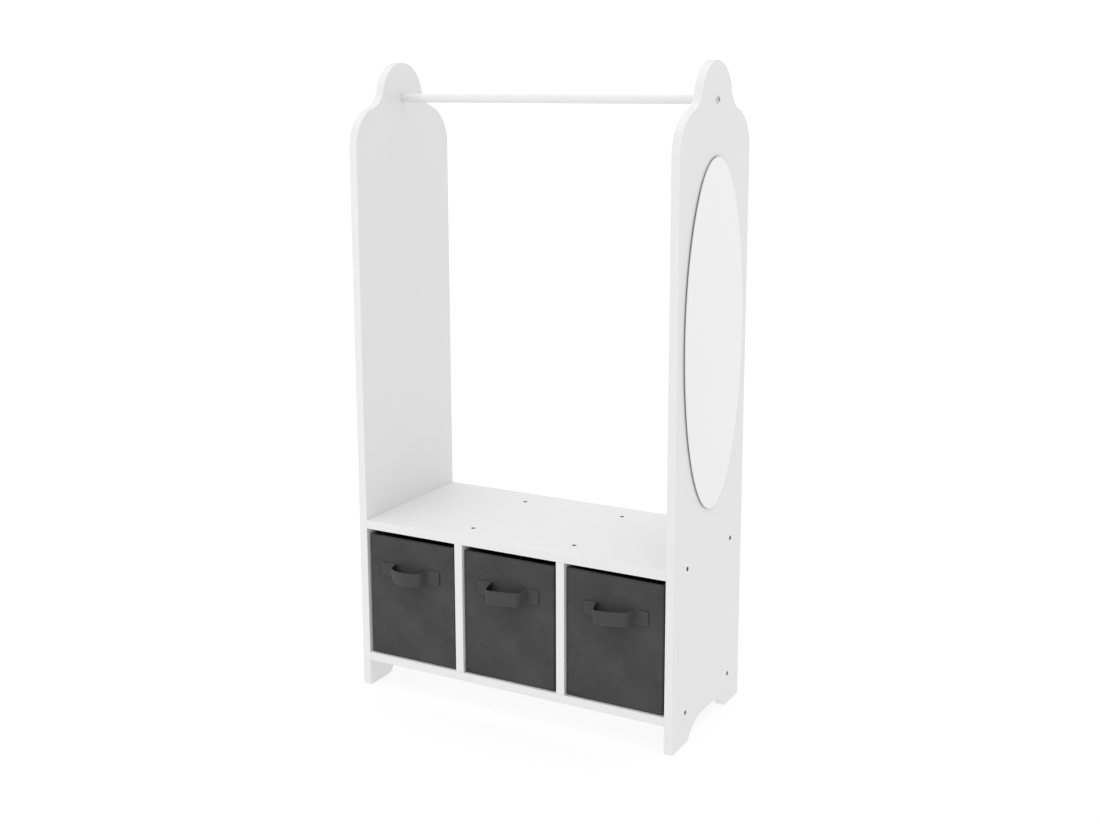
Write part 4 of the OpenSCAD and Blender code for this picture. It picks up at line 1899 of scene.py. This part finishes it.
# Each loop's ends, roots, corners, outs and drops, left and right, then its bow, swing, belly
# and round-off, in millimetres.
LEFT_LOOP = LoopForm(
    mm(-60.5, 57), mm(-34, 33), mm(-30, 28), mm(20, 19), mm(2, 2.5), *mm(28, 55, 1.5, 11)
)
MIDDLE_LOOP = LoopForm(
    mm(-60, 56), mm(-35, 35), mm(-33, 30), mm(27.5, 23), mm(4.5, 2), *mm(27, 120, 0.5, 8)
)
RIGHT_LOOP = LoopForm(
    mm(-58, 56), mm(-37.5, 34), mm(-30.5, 28.5), mm(27, 22), mm(3.8, 0.5), *mm(26.5, 120, 0.3, 7)
)


@dataclass
class BinSet:
    """The three bins, each as it stands in the photograph."""

    apart: float = UNIT.cubby + UNIT.board

    def build(self) -> None:
        """Make every bin. Lengths other than its cubby's middle are in millimetres here."""
        for name, middle, off, handle, rim, folds, seed, loop in (
            ("left", -self.apart, -0.5, -1, (-0.7, -0.7), (0.3, 0.3), 3.7, LEFT_LOOP),
            ("middle", 0.0, -2.5, 1.5, (-0.4, -1.1), (2.8, 1.0), 9.0, MIDDLE_LOOP),
            ("right", self.apart, -1.5, 4, (1.6, -0.6), (2.8, 1.1), 14.3, RIGHT_LOOP),
        ):
            x = middle + off * MM
            ClothBin(name, x, handle * MM, mm(*rim), mm(*folds), seed, loop).build()


# ---------------------------------------------------------------- the studio


@dataclass
class Studio:
    """Floor, light and camera, as in the photograph: all white, with light from front left."""

    eye: tuple[float, float, float] = (1.1750, -2.1292, 1.0684)
    yaw: float = 29.209
    pitch: float = 10.932
    roll: float = -0.261
    lens: float = 48.01
    shift: tuple[float, float] = (0.0118, -0.05)
    floor_half: float = 30.0
    key_power: float = 17.0
    key_size: float = 1.6
    key_place: tuple[float, float, float] = (-2.1, -2.9, 1.3)
    key_aim: tuple[float, float, float] = (0.0, 0.0, 0.45)
    # The studio's brightness by height: sine of the elevation, and how bright it is there.
    sky: tuple[tuple[float, float], ...] = (
        (0.0, 1.07), (0.2, 1.07), (0.34, 0.62), (0.7, 0.64), (0.88, 1.9)
    )

    def camera(self) -> None:
        """Place the camera at the photograph's angle."""
        a, e, r = (math.radians(v) for v in (self.yaw, self.pitch, self.roll))
        back = Vector((math.sin(a) * math.cos(e), -math.cos(a) * math.cos(e), math.sin(e)))
        right = Vector((math.cos(a), math.sin(a), 0.0))
        up = back.cross(right)
        across = right * math.cos(r) + up * math.sin(r)
        rise = up * math.cos(r) - right * math.sin(r)
        data = bpy.data.cameras.new("photo_camera")
        data.lens, data.sensor_width, data.sensor_fit = self.lens, 36.0, "HORIZONTAL"
        data.shift_x, data.shift_y = self.shift
        data.clip_start, data.clip_end = 0.05, 60.0
        data.dof.use_dof = False
        camera = put("photo_camera", data)
        turn = Matrix((across, rise, back)).transposed()
        camera.matrix_world = Matrix.Translation(Vector(self.eye)) @ turn.to_4x4()
        bpy.context.scene.camera = camera

    def world(self) -> None:
        """Fill the studio with even white light."""
        world = bpy.data.worlds.new("white_studio")
        world.use_nodes = True
        tree = world.node_tree
        shade = tree.nodes["Background"].inputs
        brightest = max(level for _, level in self.sky)
        way = add_node(tree, "ShaderNodeTexCoord", out="Generated")
        height = add_node(tree, "ShaderNodeSeparateXYZ", {"Vector": way}, "Z")
        bands = add_node(tree, "ShaderNodeValToRGB", {"Fac": height}, "Color")
        stops = bands.node.color_ramp.elements
        while len(stops) < len(self.sky):
            stops.new(0.5)
        for stop, (sine, level) in zip(stops, self.sky):
            stop.position = sine
            stop.color = (level / brightest,) * 3 + (1.0,)
        tree.links.new(bands, shade["Color"])
        shade["Strength"].default_value = brightest
        bpy.context.scene.world = world

    def key_light(self) -> None:
        """Add one large soft light."""
        data = bpy.data.lights.new("soft_key", "AREA")
        data.shape, data.size, data.energy = "SQUARE", self.key_size, self.key_power
        place = Vector(self.key_place)
        turn = (Vector(self.key_aim) - place).to_track_quat("-Z", "Y").to_matrix().to_4x4()
        put("soft_key", data).matrix_world = Matrix.Translation(place) @ turn

    def floor(self) -> None:
        """Lay the pale floor."""
        mesh, half = bpy.data.meshes.new("studio_floor"), self.floor_half
        corners = [(-half, -half, 0), (half, -half, 0), (half, half, 0), (-half, half, 0)]
        mesh.from_pydata(corners, [], [(0, 1, 2, 3)])
        mesh.materials.append(FINISH.floor.material())
        put("studio_floor", mesh)

    def build(self) -> None:
        """Set the studio up, with plain tones that keep white white."""
        self.camera()
        self.world()
        self.key_light()
        self.floor()
        bpy.context.scene.view_settings.view_transform = "Standard"


def main() -> None:
    """Build the unit's looks, piece by piece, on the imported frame."""
    logging.basicConfig(level=logging.INFO, format="%(name)s: %(message)s")
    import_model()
    Studio().build()
    Carcass().build()
    ScrewSets().build()
    OvalMirror().build()
    BinSet().build()


if __name__ == "__main__":
    main()
